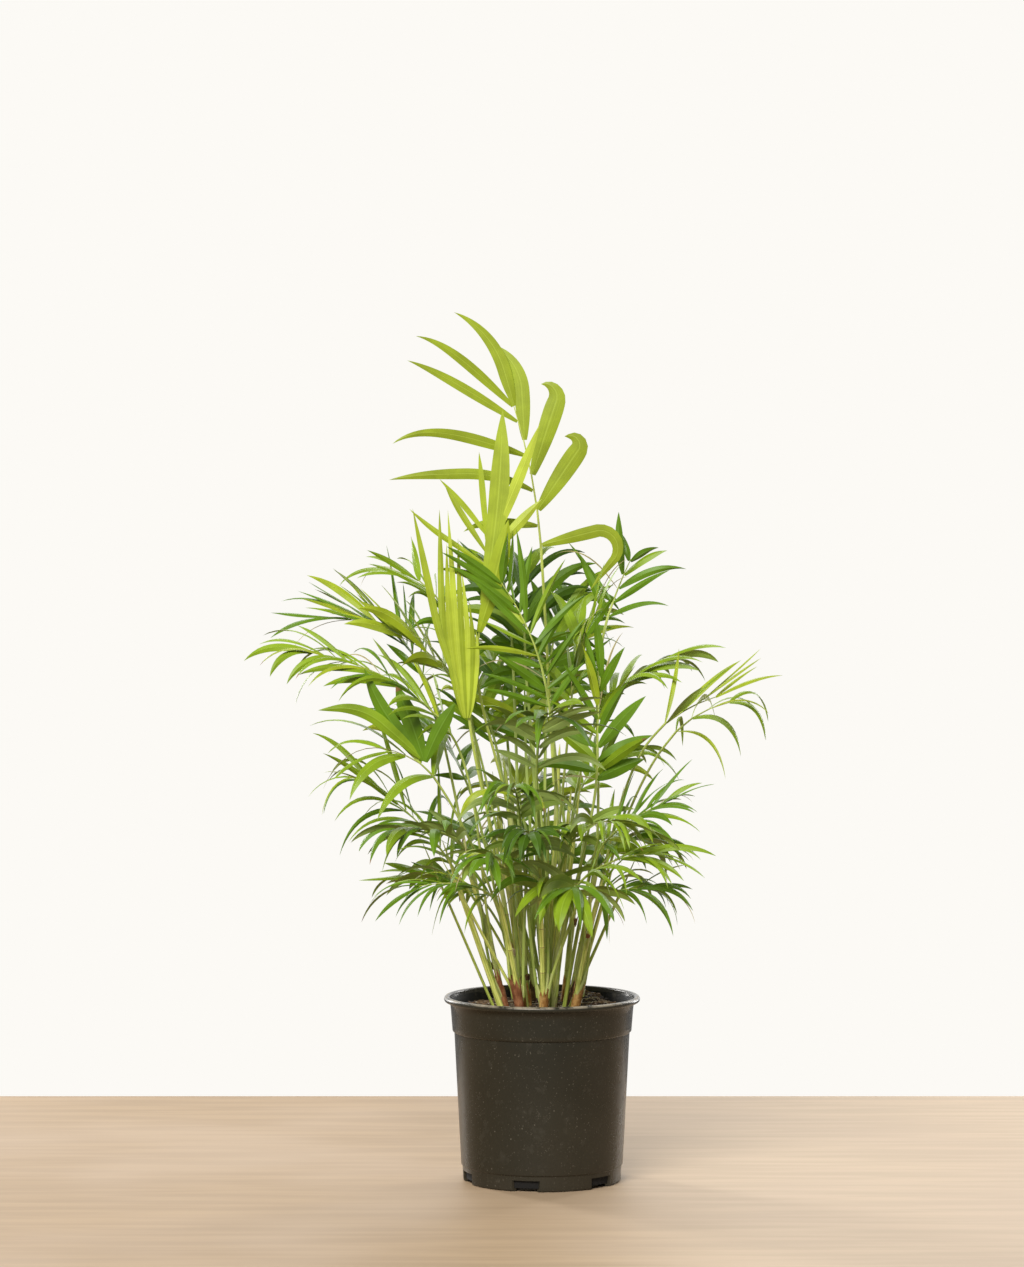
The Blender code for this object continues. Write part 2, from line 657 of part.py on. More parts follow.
def make_fronds(stems):
    """One solid for each frond: a petiole from its stem, its rib, and a leaflet wherever there is room."""
    greens = {
        "new": material("new_frond", (0.42, 0.52, 0.09), 0.45),
        "grown": material("grown_frond", (0.16, 0.30, 0.05), 0.5),
        "old": material("old_frond", (0.07, 0.17, 0.03), 0.5),
    }
    draw = random.Random(7)
    for frond, rings, points, faces in make_ribs(list(SHOWN) + filled_crown(), stems):
        for ring in reversed(range(len(rings))):
            if rings[ring][5] is None:
                continue
            for hand in (1, -1):
                leaflet = grow_leaflet(draw, frond, rings, points, ring, hand)
                if leaflet:
                    faces[ring, hand] = leaflet
        flat = []
        for face in faces.values():
            flat += face if isinstance(face, list) else [face]
        solid("frond_" + frond.name, points, flat, greens[frond.green])


def main():
    for left in list(bpy.data.objects):
        bpy.data.objects.remove(left)
    make_pot()
    make_soil()
    make_fronds(make_stems())


main()
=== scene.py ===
"""A young parlour palm in its black nursery pot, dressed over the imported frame."""

import itertools
import math
import random
from typing import NamedTuple

import bpy
from mathutils import Matrix, Vector, noise
from mathutils.bvhtree import BVHTree


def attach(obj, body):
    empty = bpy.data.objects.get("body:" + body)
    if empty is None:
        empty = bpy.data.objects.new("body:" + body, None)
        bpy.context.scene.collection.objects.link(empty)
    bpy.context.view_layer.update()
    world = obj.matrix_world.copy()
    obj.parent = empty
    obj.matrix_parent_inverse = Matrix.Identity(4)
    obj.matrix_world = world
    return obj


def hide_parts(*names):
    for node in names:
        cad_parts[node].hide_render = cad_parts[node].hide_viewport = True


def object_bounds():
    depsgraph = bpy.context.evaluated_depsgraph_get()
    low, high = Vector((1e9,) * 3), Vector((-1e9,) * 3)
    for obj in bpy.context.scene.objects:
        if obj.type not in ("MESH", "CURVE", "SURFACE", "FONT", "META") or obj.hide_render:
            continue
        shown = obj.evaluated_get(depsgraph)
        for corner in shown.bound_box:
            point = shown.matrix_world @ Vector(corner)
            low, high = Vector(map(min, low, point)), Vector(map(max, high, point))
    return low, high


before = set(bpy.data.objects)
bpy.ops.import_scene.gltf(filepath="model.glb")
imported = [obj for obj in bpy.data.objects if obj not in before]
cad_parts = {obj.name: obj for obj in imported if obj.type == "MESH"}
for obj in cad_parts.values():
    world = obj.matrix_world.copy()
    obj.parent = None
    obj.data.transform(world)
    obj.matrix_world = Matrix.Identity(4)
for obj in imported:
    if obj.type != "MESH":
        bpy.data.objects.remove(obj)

cad_low, cad_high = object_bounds()
MM = 0.001

# The view. A long lens looks a little down on the plant from the front, on the photograph's own line,
# so the pot's rim shows as a thin ellipse and the stems stand nearly upright.
CAMERA_PLACE = (-0.026, -3.5, 0.59)
CAMERA_DOWN = 1.9           # degrees below level
CAMERA_LENS = 115.1
bpy.ops.object.camera_add(location=CAMERA_PLACE, rotation=(math.radians(90 - CAMERA_DOWN), 0, 0))
camera = bpy.context.object
camera.name = "camera"
camera.data.lens = CAMERA_LENS
camera.data.sensor_width = 36
bpy.context.scene.camera = camera


# The studio. A plain pale floor runs out softly into an off-white room, and large soft lamps on both sides
# leave pale upright reflections on the pot and light the leaves from behind.
class Wire:
    """One output of a node. Arithmetic on wires and numbers adds Math nodes."""

    def __init__(self, tree, socket=None):
        self.tree = tree
        self.socket = socket

    def node(self, kind, settings=None, sockets=None, output=0):
        """Adds a node, sets it up, feeds its sockets with wires or values, and gives one of its outputs."""
        made = self.tree.nodes.new("ShaderNode" + kind)
        for name, value in (settings or {}).items():
            setattr(made, name, value)
        for name, value in (sockets or {}).items():
            if isinstance(value, Wire):
                self.tree.links.new(value.socket, made.inputs[name])
            else:
                made.inputs[name].default_value = value
        return Wire(self.tree, made.outputs[output])

    def math(self, operation, a, b=0.0):
        return self.node("Math", {"operation": operation}, {0: a, 1: b})

    def __add__(self, other):
        return self.math("ADD", self, other)

    def __sub__(self, other):
        return self.math("SUBTRACT", self, other)

    def __rsub__(self, other):
        return self.math("SUBTRACT", other, self)

    def __mul__(self, other):
        return self.math("MULTIPLY", self, other)

    def __gt__(self, other):
        return self.math("GREATER_THAN", self, other)

    def __lt__(self, other):
        return self.math("LESS_THAN", self, other)

    __radd__ = __add__
    __rmul__ = __mul__

    def between(self, low, high):
        """0 below low, 1 above high, and smooth in between. It falls where low is the higher one."""
        return self.node("MapRange", {"interpolation_type": "SMOOTHSTEP"}, {0: self, 1: low, 2: high})

    def mix(self, off, on):
        """The colour `off` where this wire is 0 and `on` where it is 1."""
        ends = {6: off, 7: on}
        ends = {k: v if isinstance(v, Wire) else (*v, 1) for k, v in ends.items()}
        return self.node("Mix", {"data_type": "RGBA"}, {0: self, **ends}, output=2)

    def stretched(self, scale):
        """Coordinates scaled along each axis."""
        return self.node("Mapping", {}, {0: self, 3: scale})

    def grain(self, scale, detail=4.0, roughness=0.55):
        """Noise from 0 to 1 on these coordinates, with about this many lumps to the metre."""
        sockets = {"Vector": self, "Scale": scale, "Detail": detail, "Roughness": roughness}
        return self.node("TexNoise", {}, sockets)

    def spots(self, scale, output=0):
        """Distance to the nearest of many scattered points, or with output 1 a colour for each of them."""
        return self.node("TexVoronoi", {}, {"Vector": self, "Scale": scale}, output)

    def part(self, axis):
        return self.node("SeparateXYZ", {}, {0: self}, output="XYZ".index(axis))


class Finish:
    """A new material with a Principled shader, whose sockets take constants or wires."""

    def __init__(self, name, **constants):
        self.material = bpy.data.materials.new(name)
        self.material.use_nodes = True
        self.tree = self.material.node_tree
        self.shader = self.tree.nodes["Principled BSDF"]
        self.place = Wire(self.tree).node("TexCoord", output="Object")
        for socket, value in constants.items():
            self.set(socket.replace("_", " "), value)

    def set(self, socket, value):
        if isinstance(value, Wire):
            self.tree.links.new(value.socket, self.shader.inputs[socket])
        elif isinstance(value, tuple):
            self.shader.inputs[socket].default_value = (*value, 1)
        else:
            self.shader.inputs[socket].default_value = value

    def relief(self, height, depth):
        """Bump from a wire that runs from 0 to 1, where 1 stands this far out."""
        bump = Wire(self.tree).node("Bump", {}, {"Height": height, "Distance": depth, "Strength": 1.0})
        self.set("Normal", bump)


BOARD_LONG = 2.4            # half its length, to the left and right
BOARD_DEEP = 0.49           # half its depth. Behind it the room shows
BOARD_FADE = (0.9, 2.2)     # distances at which its ends begin to fade, and have gone
bpy.ops.mesh.primitive_plane_add(size=2, location=(0, 0, -0.0003))
floor = bpy.context.object
floor.name = "studio_floor"
floor.scale = (BOARD_LONG, BOARD_DEEP, 1)
bpy.ops.object.transform_apply(location=True, rotation=True, scale=True)
boards = Finish("studio_floor", Roughness=0.6)
figure = boards.place.stretched((2.2, 26.0, 1.0)).grain(2.0, detail=6.0)
patches = boards.place.grain(3.2, detail=2.0)
wood = figure.between(0.36, 0.66).mix((0.305, 0.200, 0.100), (0.358, 0.238, 0.122))
# Painted light and shade: boards right of X = 0.22 m take the paler copy of the wood, and those left of -0.12
# m the darker one.
painted_lit_wood = figure.between(0.36, 0.66).mix((0.445, 0.331, 0.216), (0.518, 0.388, 0.256))
wood = boards.place.part("X").between(-0.12, 0.22).mix(wood, painted_lit_wood)
boards.set("Base Color", (patches.between(0.35, 0.7) * 0.4).mix(wood, (0.46, 0.34, 0.235)))
fade = boards.place.part("X").math("ABSOLUTE", boards.place.part("X")).between(*BOARD_FADE)
clear = boards.place.node("BsdfTransparent")
wood_shader = Wire(boards.tree, boards.shader.outputs[0])
shown = boards.place.node("MixShader", {}, {0: fade, 1: wood_shader, 2: clear})
boards.tree.links.new(shown.socket, boards.tree.nodes["Material Output"].inputs["Surface"])
floor.data.materials.append(boards.material)

ROOM_SEEN = (0.975, 0.955, 0.915)
ROOM_LIGHT = (1.0, 0.985, 0.96)
ROOM_STRENGTH = 0.27
world = bpy.data.worlds.new("studio_room")
bpy.context.scene.world = world
world.use_nodes = True
room = Wire(world.node_tree)
seen = room.node("LightPath", output="Is Camera Ray")
backdrop = room.node("Background", {}, {"Color": (*ROOM_SEEN, 1), "Strength": 1.0})
glow = room.node("Background", {}, {"Color": (*ROOM_LIGHT, 1), "Strength": ROOM_STRENGTH})
both = room.node("MixShader", {}, {0: seen, 1: glow, 2: backdrop})
world.node_tree.links.new(both.socket, world.node_tree.nodes["World Output"].inputs["Surface"])

LAMPS = {                   # place, width, height and watts; each faces the middle of the crown
    "lamp_left": ((-1.6, 1.8, 1.0), 0.36, 1.6, 40),
    "lamp_right": ((1.5, 1.8, 0.8), 0.36, 1.6, 26),
    "lamp_front": ((-0.8, -2.5, 2.2), 1.6, 1.2, 128),
    "lamp_behind": ((0.2, 1.9, 1.9), 1.8, 1.2, 18),
    "lamp_wall": ((0.0, 2.2, 0.8), 3.6, 1.8, 22),
    "lamp_ahead": ((0.15, -4.2, 0.6), 1.5, 1.6, 7),
}
CROWN_MIDDLE = Vector((0, 0, 0.36))
for name, (place, width, height, watts) in LAMPS.items():
    facing = (Vector(place) - CROWN_MIDDLE).to_track_quat("Z", "Y").to_euler()
    bpy.ops.object.light_add(type="AREA", location=place, rotation=facing)
    lamp = bpy.context.object
    lamp.name = name
    lamp.data.shape = "RECTANGLE"
    lamp.data.size = width
    lamp.data.size_y = height
    lamp.data.energy = watts
scene = bpy.context.scene
scene.view_settings.view_transform = "Standard"
scene.view_settings.look = "None"

# The nursery pot. It is moulded in thin black plastic, with a rolled rim, a slightly wider collar, a foot
# band that is set in, and drainage notches whose flared mouths are open to the floor.
POT_HEIGHT = 160 * MM
RIM_RADIUS = 85 * MM
RIM_ROLL = 2.6 * MM
SHOULDER_RADIUS = 79 * MM
SHOULDER_DROP = 12 * MM
STEP_HEIGHT = 129.5 * MM
STEP_RADIUS = 77.6 * MM
BODY_RADIUS = 76 * MM
FOOT_HEIGHT = 13 * MM
FOOT_RADIUS = 68.4 * MM
FOOT_SPREAD = 0.6 * MM
FOOT_STEP = 1.1 * MM
WALL = 1.8 * MM
FLOOR = 2.4 * MM
POT_SIDES = 160
NOTCHES = 6
FIRST_NOTCH = 258
NOTCH_WIDTH = 18 * MM
NOTCH_FLARE = 8 * MM
NOTCH_HEIGHT = 9.5 * MM
NOTCH_DEPTH = 9 * MM
NOTCH_MOUTH = 4 * MM
PAST = 2 * MM


def inner_radius(height):
    """Radius of the pot's inner wall, which tapers evenly from under the rim to the floor."""
    low = FOOT_RADIUS - WALL
    rise = POT_HEIGHT - SHOULDER_DROP - FLOOR
    return low + (SHOULDER_RADIUS - 2 * WALL - low) * (height - FLOOR) / rise


def arc(middle, radius, first, last, count):
    """Points of (radius, height) along an arc, between two angles in degrees."""
    turns = [math.radians(first + (last - first) * k / (count - 1)) for k in range(count)]
    return [(middle[0] + radius * math.cos(t), middle[1] + radius * math.sin(t)) for t in turns]


def straight(first, last, count):
    """Points along a straight wall, both ends left out."""
    return [
        (first[0] + (last[0] - first[0]) * k / (count + 1), first[1] + (last[1] - first[1]) * k / (count + 1))
        for k in range(1, count + 1)
    ]


def all_in_edit(mode="FACE"):
    """Goes into edit mode with everything of the active object selected."""
    bpy.ops.object.mode_set(mode="EDIT")
    bpy.ops.mesh.select_mode(type=mode)
    bpy.ops.mesh.select_all(action="SELECT")


def select_only(piece):
    bpy.ops.object.select_all(action="DESELECT")
    piece.select_set(True)
    bpy.context.view_layer.objects.active = piece


foot_corner = arc((FOOT_RADIUS - 1.5 * MM, 1.5 * MM), 1.5 * MM, -80, 0, 5)
foot_top = (FOOT_RADIUS + FOOT_SPREAD, FOOT_HEIGHT)
body_foot = (foot_top[0] + FOOT_STEP, FOOT_HEIGHT + FOOT_STEP)
body_top = (BODY_RADIUS, STEP_HEIGHT - 0.8 * MM)
collar_foot = (STEP_RADIUS, STEP_HEIGHT + 0.8 * MM)
shoulder = (SHOULDER_RADIUS, POT_HEIGHT - SHOULDER_DROP)
roll_middle = (RIM_RADIUS - RIM_ROLL, POT_HEIGHT - RIM_ROLL)
under_rim = (roll_middle[0] - 0.6 * MM, roll_middle[1] - RIM_ROLL + 0.3 * MM)
inner_shoulder = (SHOULDER_RADIUS - WALL, POT_HEIGHT - SHOULDER_DROP)
inner_foot = (inner_radius(FLOOR), FLOOR)
pot_outline = [
    *foot_corner,
    *straight(foot_corner[-1], foot_top, 3),
    foot_top,
    *arc((body_foot[0] - 0.5 * MM, body_foot[1] + 0.3 * MM), 0.5 * MM, -60, 0, 3),
    *straight(body_foot, body_top, 14),
    (body_top[0], body_top[1] - 0.4 * MM),
    body_top,
    (collar_foot[0] - 0.25 * MM, collar_foot[1] - 0.5 * MM),
    collar_foot,
    *straight(collar_foot, shoulder, 4),
    shoulder,
    (SHOULDER_RADIUS + 0.5 * MM, POT_HEIGHT - 7.5 * MM),
    (SHOULDER_RADIUS + 1.4 * MM, POT_HEIGHT - 5.6 * MM),
    under_rim,
    *arc(roll_middle, RIM_ROLL, -70, 150, 13),
    (roll_middle[0] - RIM_ROLL, roll_middle[1] - 1.3 * MM),
    inner_shoulder,
    *straight(inner_shoulder, inner_foot, 6),
    inner_foot,
]
bpy.ops.mesh.primitive_circle_add(vertices=POT_SIDES, radius=pot_outline[0][0], fill_type="NGON",
                                  location=(0, 0, 0))
pot = bpy.context.object
pot.name = "nursery_pot"
all_in_edit()
bpy.ops.transform.translate(value=(0, 0, pot_outline[0][1]))
for (radius, height), (next_radius, next_height) in zip(pot_outline, pot_outline[1:]):
    bpy.ops.mesh.extrude_region_move(TRANSFORM_OT_translate={"value": (0, 0, next_height - height)})
    share = next_radius / radius
    bpy.ops.transform.resize(value=(share, share, 1), center_override=(0, 0, next_height))
bpy.ops.mesh.select_all(action="SELECT")
bpy.ops.mesh.normals_make_consistent(inside=False)
bpy.ops.object.mode_set(mode="OBJECT")

cutters = []
for k in range(NOTCHES):
    inner = FOOT_RADIUS - NOTCH_DEPTH
    mouth = FOOT_RADIUS - NOTCH_MOUTH
    outer = FOOT_RADIUS + NOTCH_MOUTH
    middle = (inner + mouth) / 2
    bpy.ops.mesh.primitive_cube_add(size=1, location=(middle, 0, (NOTCH_HEIGHT - PAST) / 2),
                                    scale=(mouth - inner, NOTCH_WIDTH, NOTCH_HEIGHT + PAST))
    cutter = bpy.context.object
    bpy.ops.object.transform_apply(location=True, rotation=True, scale=True)
    all_in_edit()
    bpy.ops.mesh.select_all(action="DESELECT")
    bpy.ops.object.mode_set(mode="OBJECT")
    for face in cutter.data.polygons:
        face.select = face.normal.x > 0.9
    bpy.ops.object.mode_set(mode="EDIT")
    bpy.ops.mesh.extrude_region_move(TRANSFORM_OT_translate={"value": (outer - mouth, 0, 0)})
    wide = 1 + 2 * NOTCH_FLARE / NOTCH_WIDTH
    bpy.ops.transform.resize(value=(1, wide, 1), center_override=(outer, 0, 0))
    bpy.ops.object.mode_set(mode="OBJECT")
    for vertex in cutter.data.vertices:
        if vertex.co.x < inner + 1e-5 and vertex.co.z > 0:
            vertex.co.z = FLOOR / 2
    cutter.data.transform(Matrix.Rotation(math.radians(FIRST_NOTCH + 360 * k / NOTCHES), 4, "Z"))
    cutters.append(cutter)
select_only(cutters[0])
for cutter in cutters:
    cutter.select_set(True)
bpy.ops.object.join()
cutter = bpy.context.object
select_only(pot)
cut = pot.modifiers.new("drain_notches", "BOOLEAN")
cut.operation = "DIFFERENCE"
cut.object = cutter
bpy.ops.object.modifier_apply(modifier=cut.name)
bpy.data.objects.remove(cutter)
bpy.ops.object.shade_smooth_by_angle(angle=math.radians(28))

plastic = Finish("black_pot_plastic", Metallic=0.0, Specular_IOR_Level=0.36, Specular_Tint=(1.0, 0.92, 0.80))
cloudy = plastic.place.grain(24.0)
scuffs = plastic.place.grain(90.0, detail=5.0, roughness=0.7).between(0.56, 0.70)
upright = plastic.place.stretched((70, 70, 9)).grain(1.0, detail=3.0)
height = plastic.place.part("Z")
dust_here = plastic.place.grain(60.0, detail=2.0).between(0.45, 0.62)
speck = plastic.place.spots(300.0) < 0.17
speck = speck * (plastic.place.spots(300.0, output=1).part("X") > 0.76) * (0.25 + dust_here * 0.75)
fine_speck = plastic.place.spots(620.0) < 0.22
speck = speck * 0.8 + fine_speck * (plastic.place.spots(620.0, output=1).part("Y") > 0.76) * 0.5
level = plastic.place.node("CombineXYZ", {}, {0: plastic.place.part("X"), 1: plastic.place.part("Y")})
out = plastic.place.node("VectorMath", {"operation": "LENGTH"}, {0: level}, output="Value")
on_rim = height.between(POT_HEIGHT - 2.3 * MM, POT_HEIGHT - 0.9 * MM) * out.between(81.5 * MM, 82.4 * MM)
worn = on_rim * plastic.place.grain(55.0, detail=5.0, roughness=0.7).between(0.40, 0.62)
black = cloudy.mix((0.0155, 0.0148, 0.0100), (0.025, 0.0236, 0.0162))
near_foot = height.between(26 * MM, 2 * MM) * 0.35
dusty = (plastic.place.grain(9.0).between(0.45, 0.8) * 0.5 + near_foot).mix(black, (0.040, 0.034, 0.023))
dusty = (scuffs * 0.22).mix(dusty, (0.070, 0.062, 0.046))
specked = (speck * 0.42).mix(dusty, (0.26, 0.23, 0.175))
plastic.set("Base Color", (worn * 0.75).mix(specked, (0.34, 0.29, 0.21)))
plastic.set("Roughness", 0.15 + cloudy * 0.12 + upright * 0.12 + scuffs * 0.15 + speck * 0.2 + worn * 0.2)
plastic.relief(upright * 0.6 + plastic.place.grain(700.0, detail=2.0) * 0.25 + speck * 0.5, 0.08 * MM)
# The inner wall takes its own copy of the plastic, darker and less glossy than the outer one: painted shade,
# with real grime towards the top.
inside = Finish("pot_inside", Specular_IOR_Level=0.16)
grime = inside.place.grain(38.0, detail=6.0, roughness=0.75)
at_top = inside.place.part("Z").between(149 * MM, 156 * MM)
grimy = grime.between(0.50, 0.68) * (0.25 + at_top * 0.5)
inside.set("Base Color", grimy.mix((0.0085, 0.0080, 0.0062), (0.085, 0.072, 0.052)))
inside.set("Roughness", 0.42 + grime * 0.3)
inside.relief(grime, 0.2 * MM)
pot.data.materials.clear()
pot.data.materials.append(plastic.material)
pot.data.materials.append(inside.material)
# Faces that point in, within the rim, take that darker copy, which paints the shade inside the pot.
for face in pot.data.polygons:
    reach = Vector((face.center.x, face.center.y, 0))
    face.material_index = int(face.normal.dot(reach) < 0 and reach.length < RIM_RADIUS - 2 * RIM_ROLL)
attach(pot, "root")
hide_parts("pot")

# The potting mix. It is a moist, dark, crumbly bed of composted bark that fills the pot to just under the
# rim, with chips, fibres and a few pale crumbs lying loose on top.
SOIL_HEIGHT = 148 * MM
TOUCH = 0.3 * MM
SOIL_RINGS = 26
SOIL_SIDES = 120
SOIL_LUMP = 3.6 * MM
MOUND = (34 * MM, 52 * MM)  # where the mix is heaped a little, to the right at the back
MOUND_WIDE = 30 * MM
MOUND_HIGH = 7.5 * MM
NEAR_WALL = 0.72            # share of the bed's radius from which it sinks towards the wall
WALL_SINKS = 1.2 * MM
soil_radius = inner_radius(SOIL_HEIGHT) - 2 * TOUCH


def soil_top(x, y):
    """Height of the bed at a place: lumps of three sizes, a low heap, and a little lower at the wall."""
    place = Vector((x, y, 0))
    near_wall = max(0.0, place.length / soil_radius - NEAR_WALL) / (1 - NEAR_WALL)
    lumps = noise.noise(place * 45) * 0.5 + noise.noise(place * 130) * 0.42 + noise.noise(place * 330) * 0.22
    away = (place - Vector((*MOUND, 0))).length / MOUND_WIDE
    heap = MOUND_HIGH * max(0.0, 1 - away**2)
    lumpy = SOIL_LUMP * (0.25 + lumps * (0.5 + 0.5 * near_wall))
    return SOIL_HEIGHT + heap + lumpy - WALL_SINKS * near_wall**2


bpy.ops.mesh.primitive_cylinder_add(vertices=SOIL_SIDES, radius=soil_radius,
                                    depth=SOIL_HEIGHT - FLOOR - TOUCH,
                                    location=(0, 0, (SOIL_HEIGHT + FLOOR + TOUCH) / 2))
soil = bpy.context.object
soil.name = "potting_mix"
bpy.ops.object.transform_apply(location=True, rotation=True, scale=True)
bpy.ops.object.mode_set(mode="EDIT")
bpy.ops.mesh.select_mode(type="FACE")
bpy.ops.mesh.select_all(action="DESELECT")
bpy.ops.object.mode_set(mode="OBJECT")
for face in soil.data.polygons:
    face.select = face.normal.z > 0.9
bpy.ops.object.mode_set(mode="EDIT")
for ring in range(SOIL_RINGS):
    bpy.ops.mesh.inset(thickness=soil_radius / (SOIL_RINGS + 0.6))
bpy.ops.object.mode_set(mode="OBJECT")
for vertex in soil.data.vertices:
    x, y, z = vertex.co
    if z > SOIL_HEIGHT / 2:
        vertex.co.z = soil_top(x, y)
    else:
        vertex.co.x *= (inner_radius(FLOOR) - TOUCH) / soil_radius
        vertex.co.y *= (inner_radius(FLOOR) - TOUCH) / soil_radius
bpy.ops.object.shade_smooth_by_angle(angle=math.radians(50))
mix = Finish("potting_mix", Roughness=0.95)
crumbs = mix.place.grain(260.0, detail=6.0, roughness=0.7)
damp = mix.place.grain(30.0)
dark = damp.mix((0.020, 0.012, 0.007), (0.050, 0.030, 0.017))
loose_mix = crumbs.between(0.42, 0.72).mix(dark, (0.095, 0.056, 0.030))
# From 60 mm down to 30 mm above the floor the mix darkens to near black: painted shade deep in the pot.
painted_shade_low = mix.place.part("Z").between(60 * MM, 30 * MM)
mix.set("Base Color", painted_shade_low.mix(loose_mix, (0.006, 0.005, 0.004)))
mix.relief(crumbs, 1.1 * MM)
soil.data.materials.clear()
soil.data.materials.append(mix.material)
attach(soil, "root")
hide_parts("soil")


class Bunch:
    """Points, faces, finishes and UVs of many small things that are joined into one piece."""

    def __init__(self):
        self.points = []
        self.faces = []
        self.kinds = []
        self.uvs = []

    def grow(self, points, faces, kinds, uvs=None):
        """Adds one thing. kinds is a finish's number for all its faces, or one for each face."""
        first = len(self.points)
        self.points.extend(points)
        for k, face in enumerate(faces):
            self.faces.append([first + j for j in face])
            self.kinds.append(kinds if isinstance(kinds, int) else kinds[k])
            self.uvs.extend(uvs[k] if uvs else [(0, 0)] * len(face))

    def piece(self, name, finishes, slot, sharp):
        """The joined mesh, smooth but for edges sharper than this angle, riding on the plant's one body."""
        mesh = bpy.data.meshes.new(name)
        mesh.from_pydata([tuple(p) for p in self.points], [], self.faces)
        mesh.polygons.foreach_set("material_index", self.kinds)
        across = mesh.uv_layers.new(name="along")
        across.data.foreach_set("uv", [value for pair in self.uvs for value in pair])
        for finish in finishes:
            mesh.materials.append(finish.material)
        made = bpy.data.objects.new(name, mesh)
        bpy.context.scene.collection.objects.link(made)
        select_only(made)
        all_in_edit()
        bpy.ops.mesh.normals_make_consistent(inside=False)
        bpy.ops.object.mode_set(mode="OBJECT")
        bpy.ops.object.shade_smooth_by_angle(angle=math.radians(sharp))
        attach(made, "root")
        return made


CHIPS = 1900
CHIP_LENGTHS = (2.2, 8.5)   # of bark chips, in mm
CHIP_WIDTHS = (0.22, 0.6)   # as shares of their length
CHIP_THICK = (0.5, 1.3)     # in mm
CHIP_HIGH = (-0.2, 1.6)     # mm from the bed to a chip's middle
CHIP_ODD = (0.75, 1.15)     # shares by which each of its corners is moved
CHIP_KINDS = (46, 28, 18, 8)                    # how often each finish comes
FIBRES = 420
FIBRE_LENGTHS = (8, 22)
FIBRE_THICK = (0.22, 0.5)
FIBRE_CURL = 1.6            # radians from one end to the other, at most
FIBRE_STEPS = 6
CHIP_CORNERS = [(-1, -1, -1), (1, -0.8, -1), (0.8, 1, -1), (-0.7, 0.9, -1),
                (-0.8, -0.9, 1), (0.9, -0.6, 1), (0.7, 0.8, 1), (-0.9, 0.7, 1)]
BOX_FACES = [(0, 1, 2, 3), (4, 5, 6, 7), (0, 1, 5, 4), (1, 2, 6, 5), (2, 3, 7, 6), (3, 0, 4, 7)]
draw = random.Random(31)


def on_bed(reach):
    """A place on the bed, evenly spread out to this radius."""
    away = reach * math.sqrt(draw.random())
    turn = draw.uniform(0, math.tau)
    return away * math.cos(turn), away * math.sin(turn)


litter = Bunch()
for _ in range(CHIPS):
    long = draw.uniform(*CHIP_LENGTHS) * MM * draw.uniform(0.5, 1)
    x, y = on_bed(soil_radius - long / 2 - 0.5 * MM)
    size = Vector((long, long * draw.uniform(*CHIP_WIDTHS), draw.uniform(*CHIP_THICK) * MM)) / 2
    tilt = Matrix.Rotation(draw.uniform(0, math.tau), 3, "Z") @ Matrix.Rotation(draw.gauss(0, 0.35), 3, "Y")
    tilt = tilt @ Matrix.Rotation(draw.gauss(0, 0.4), 3, "X")
    middle = Vector((x, y, soil_top(x, y) + draw.uniform(*CHIP_HIGH) * MM))
    points = [
        middle + tilt @ Vector(c * s * draw.uniform(*CHIP_ODD) for c, s in zip(corner, size))
        for corner in CHIP_CORNERS
    ]
    litter.grow(points, BOX_FACES, draw.choices((0, 1, 2, 3), CHIP_KINDS)[0])
for _ in range(FIBRES):
    long = draw.uniform(*FIBRE_LENGTHS) * MM
    x, y = on_bed(soil_radius - long / 2)
    heading = draw.uniform(0, math.tau)
    curl = draw.uniform(-FIBRE_CURL, FIBRE_CURL)
    thick = draw.uniform(*FIBRE_THICK) * MM
    points = []
    for k in range(FIBRE_STEPS + 1):
        turn = heading + curl * (k / FIBRE_STEPS - 0.5)
        x += math.cos(turn) * long / FIBRE_STEPS if k else -math.cos(heading) * long / 2
        y += math.sin(turn) * long / FIBRE_STEPS if k else -math.sin(heading) * long / 2
        arch = 0.8 + 1.2 * math.sin(math.pi * k / FIBRE_STEPS)
        middle = Vector((x, y, soil_top(x, y) + arch * MM))
        side = Vector((-math.sin(turn), math.cos(turn), 0)) * thick
        points += [middle - side, middle + side, middle + Vector((0, 0, thick * 1.6))]
    last = 3 * FIBRE_STEPS
    faces = [(0, 1, 2), (last, last + 1, last + 2)]
    for k in range(FIBRE_STEPS):
        faces += [(3 * k + a, 3 * k + b, 3 * k + b + 3, 3 * k + a + 3) for a, b in ((0, 1), (1, 2), (2, 0))]
    litter.grow(points, faces, draw.choices((1, 2, 3), (3, 5, 3))[0])


def bark(name, colour, paler):
    finish = Finish(name, Roughness=0.9)
    streaks = finish.place.grain(420.0, detail=5.0)
    finish.set("Base Color", streaks.between(0.35, 0.7).mix(colour, paler))
    finish.relief(streaks, 0.3 * MM)
    return finish


LITTER = [
    bark("bark_black", (0.012, 0.008, 0.005), (0.032, 0.020, 0.012)),
    bark("bark_brown", (0.045, 0.024, 0.012), (0.095, 0.055, 0.028)),
    bark("bark_fibre", (0.120, 0.070, 0.034), (0.210, 0.135, 0.072)),
    bark("pale_crumb", (0.300, 0.245, 0.165), (0.460, 0.400, 0.300)),
]
loose = litter.piece("bark_litter", LITTER, "potting_mix", 30)
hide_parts("soil")

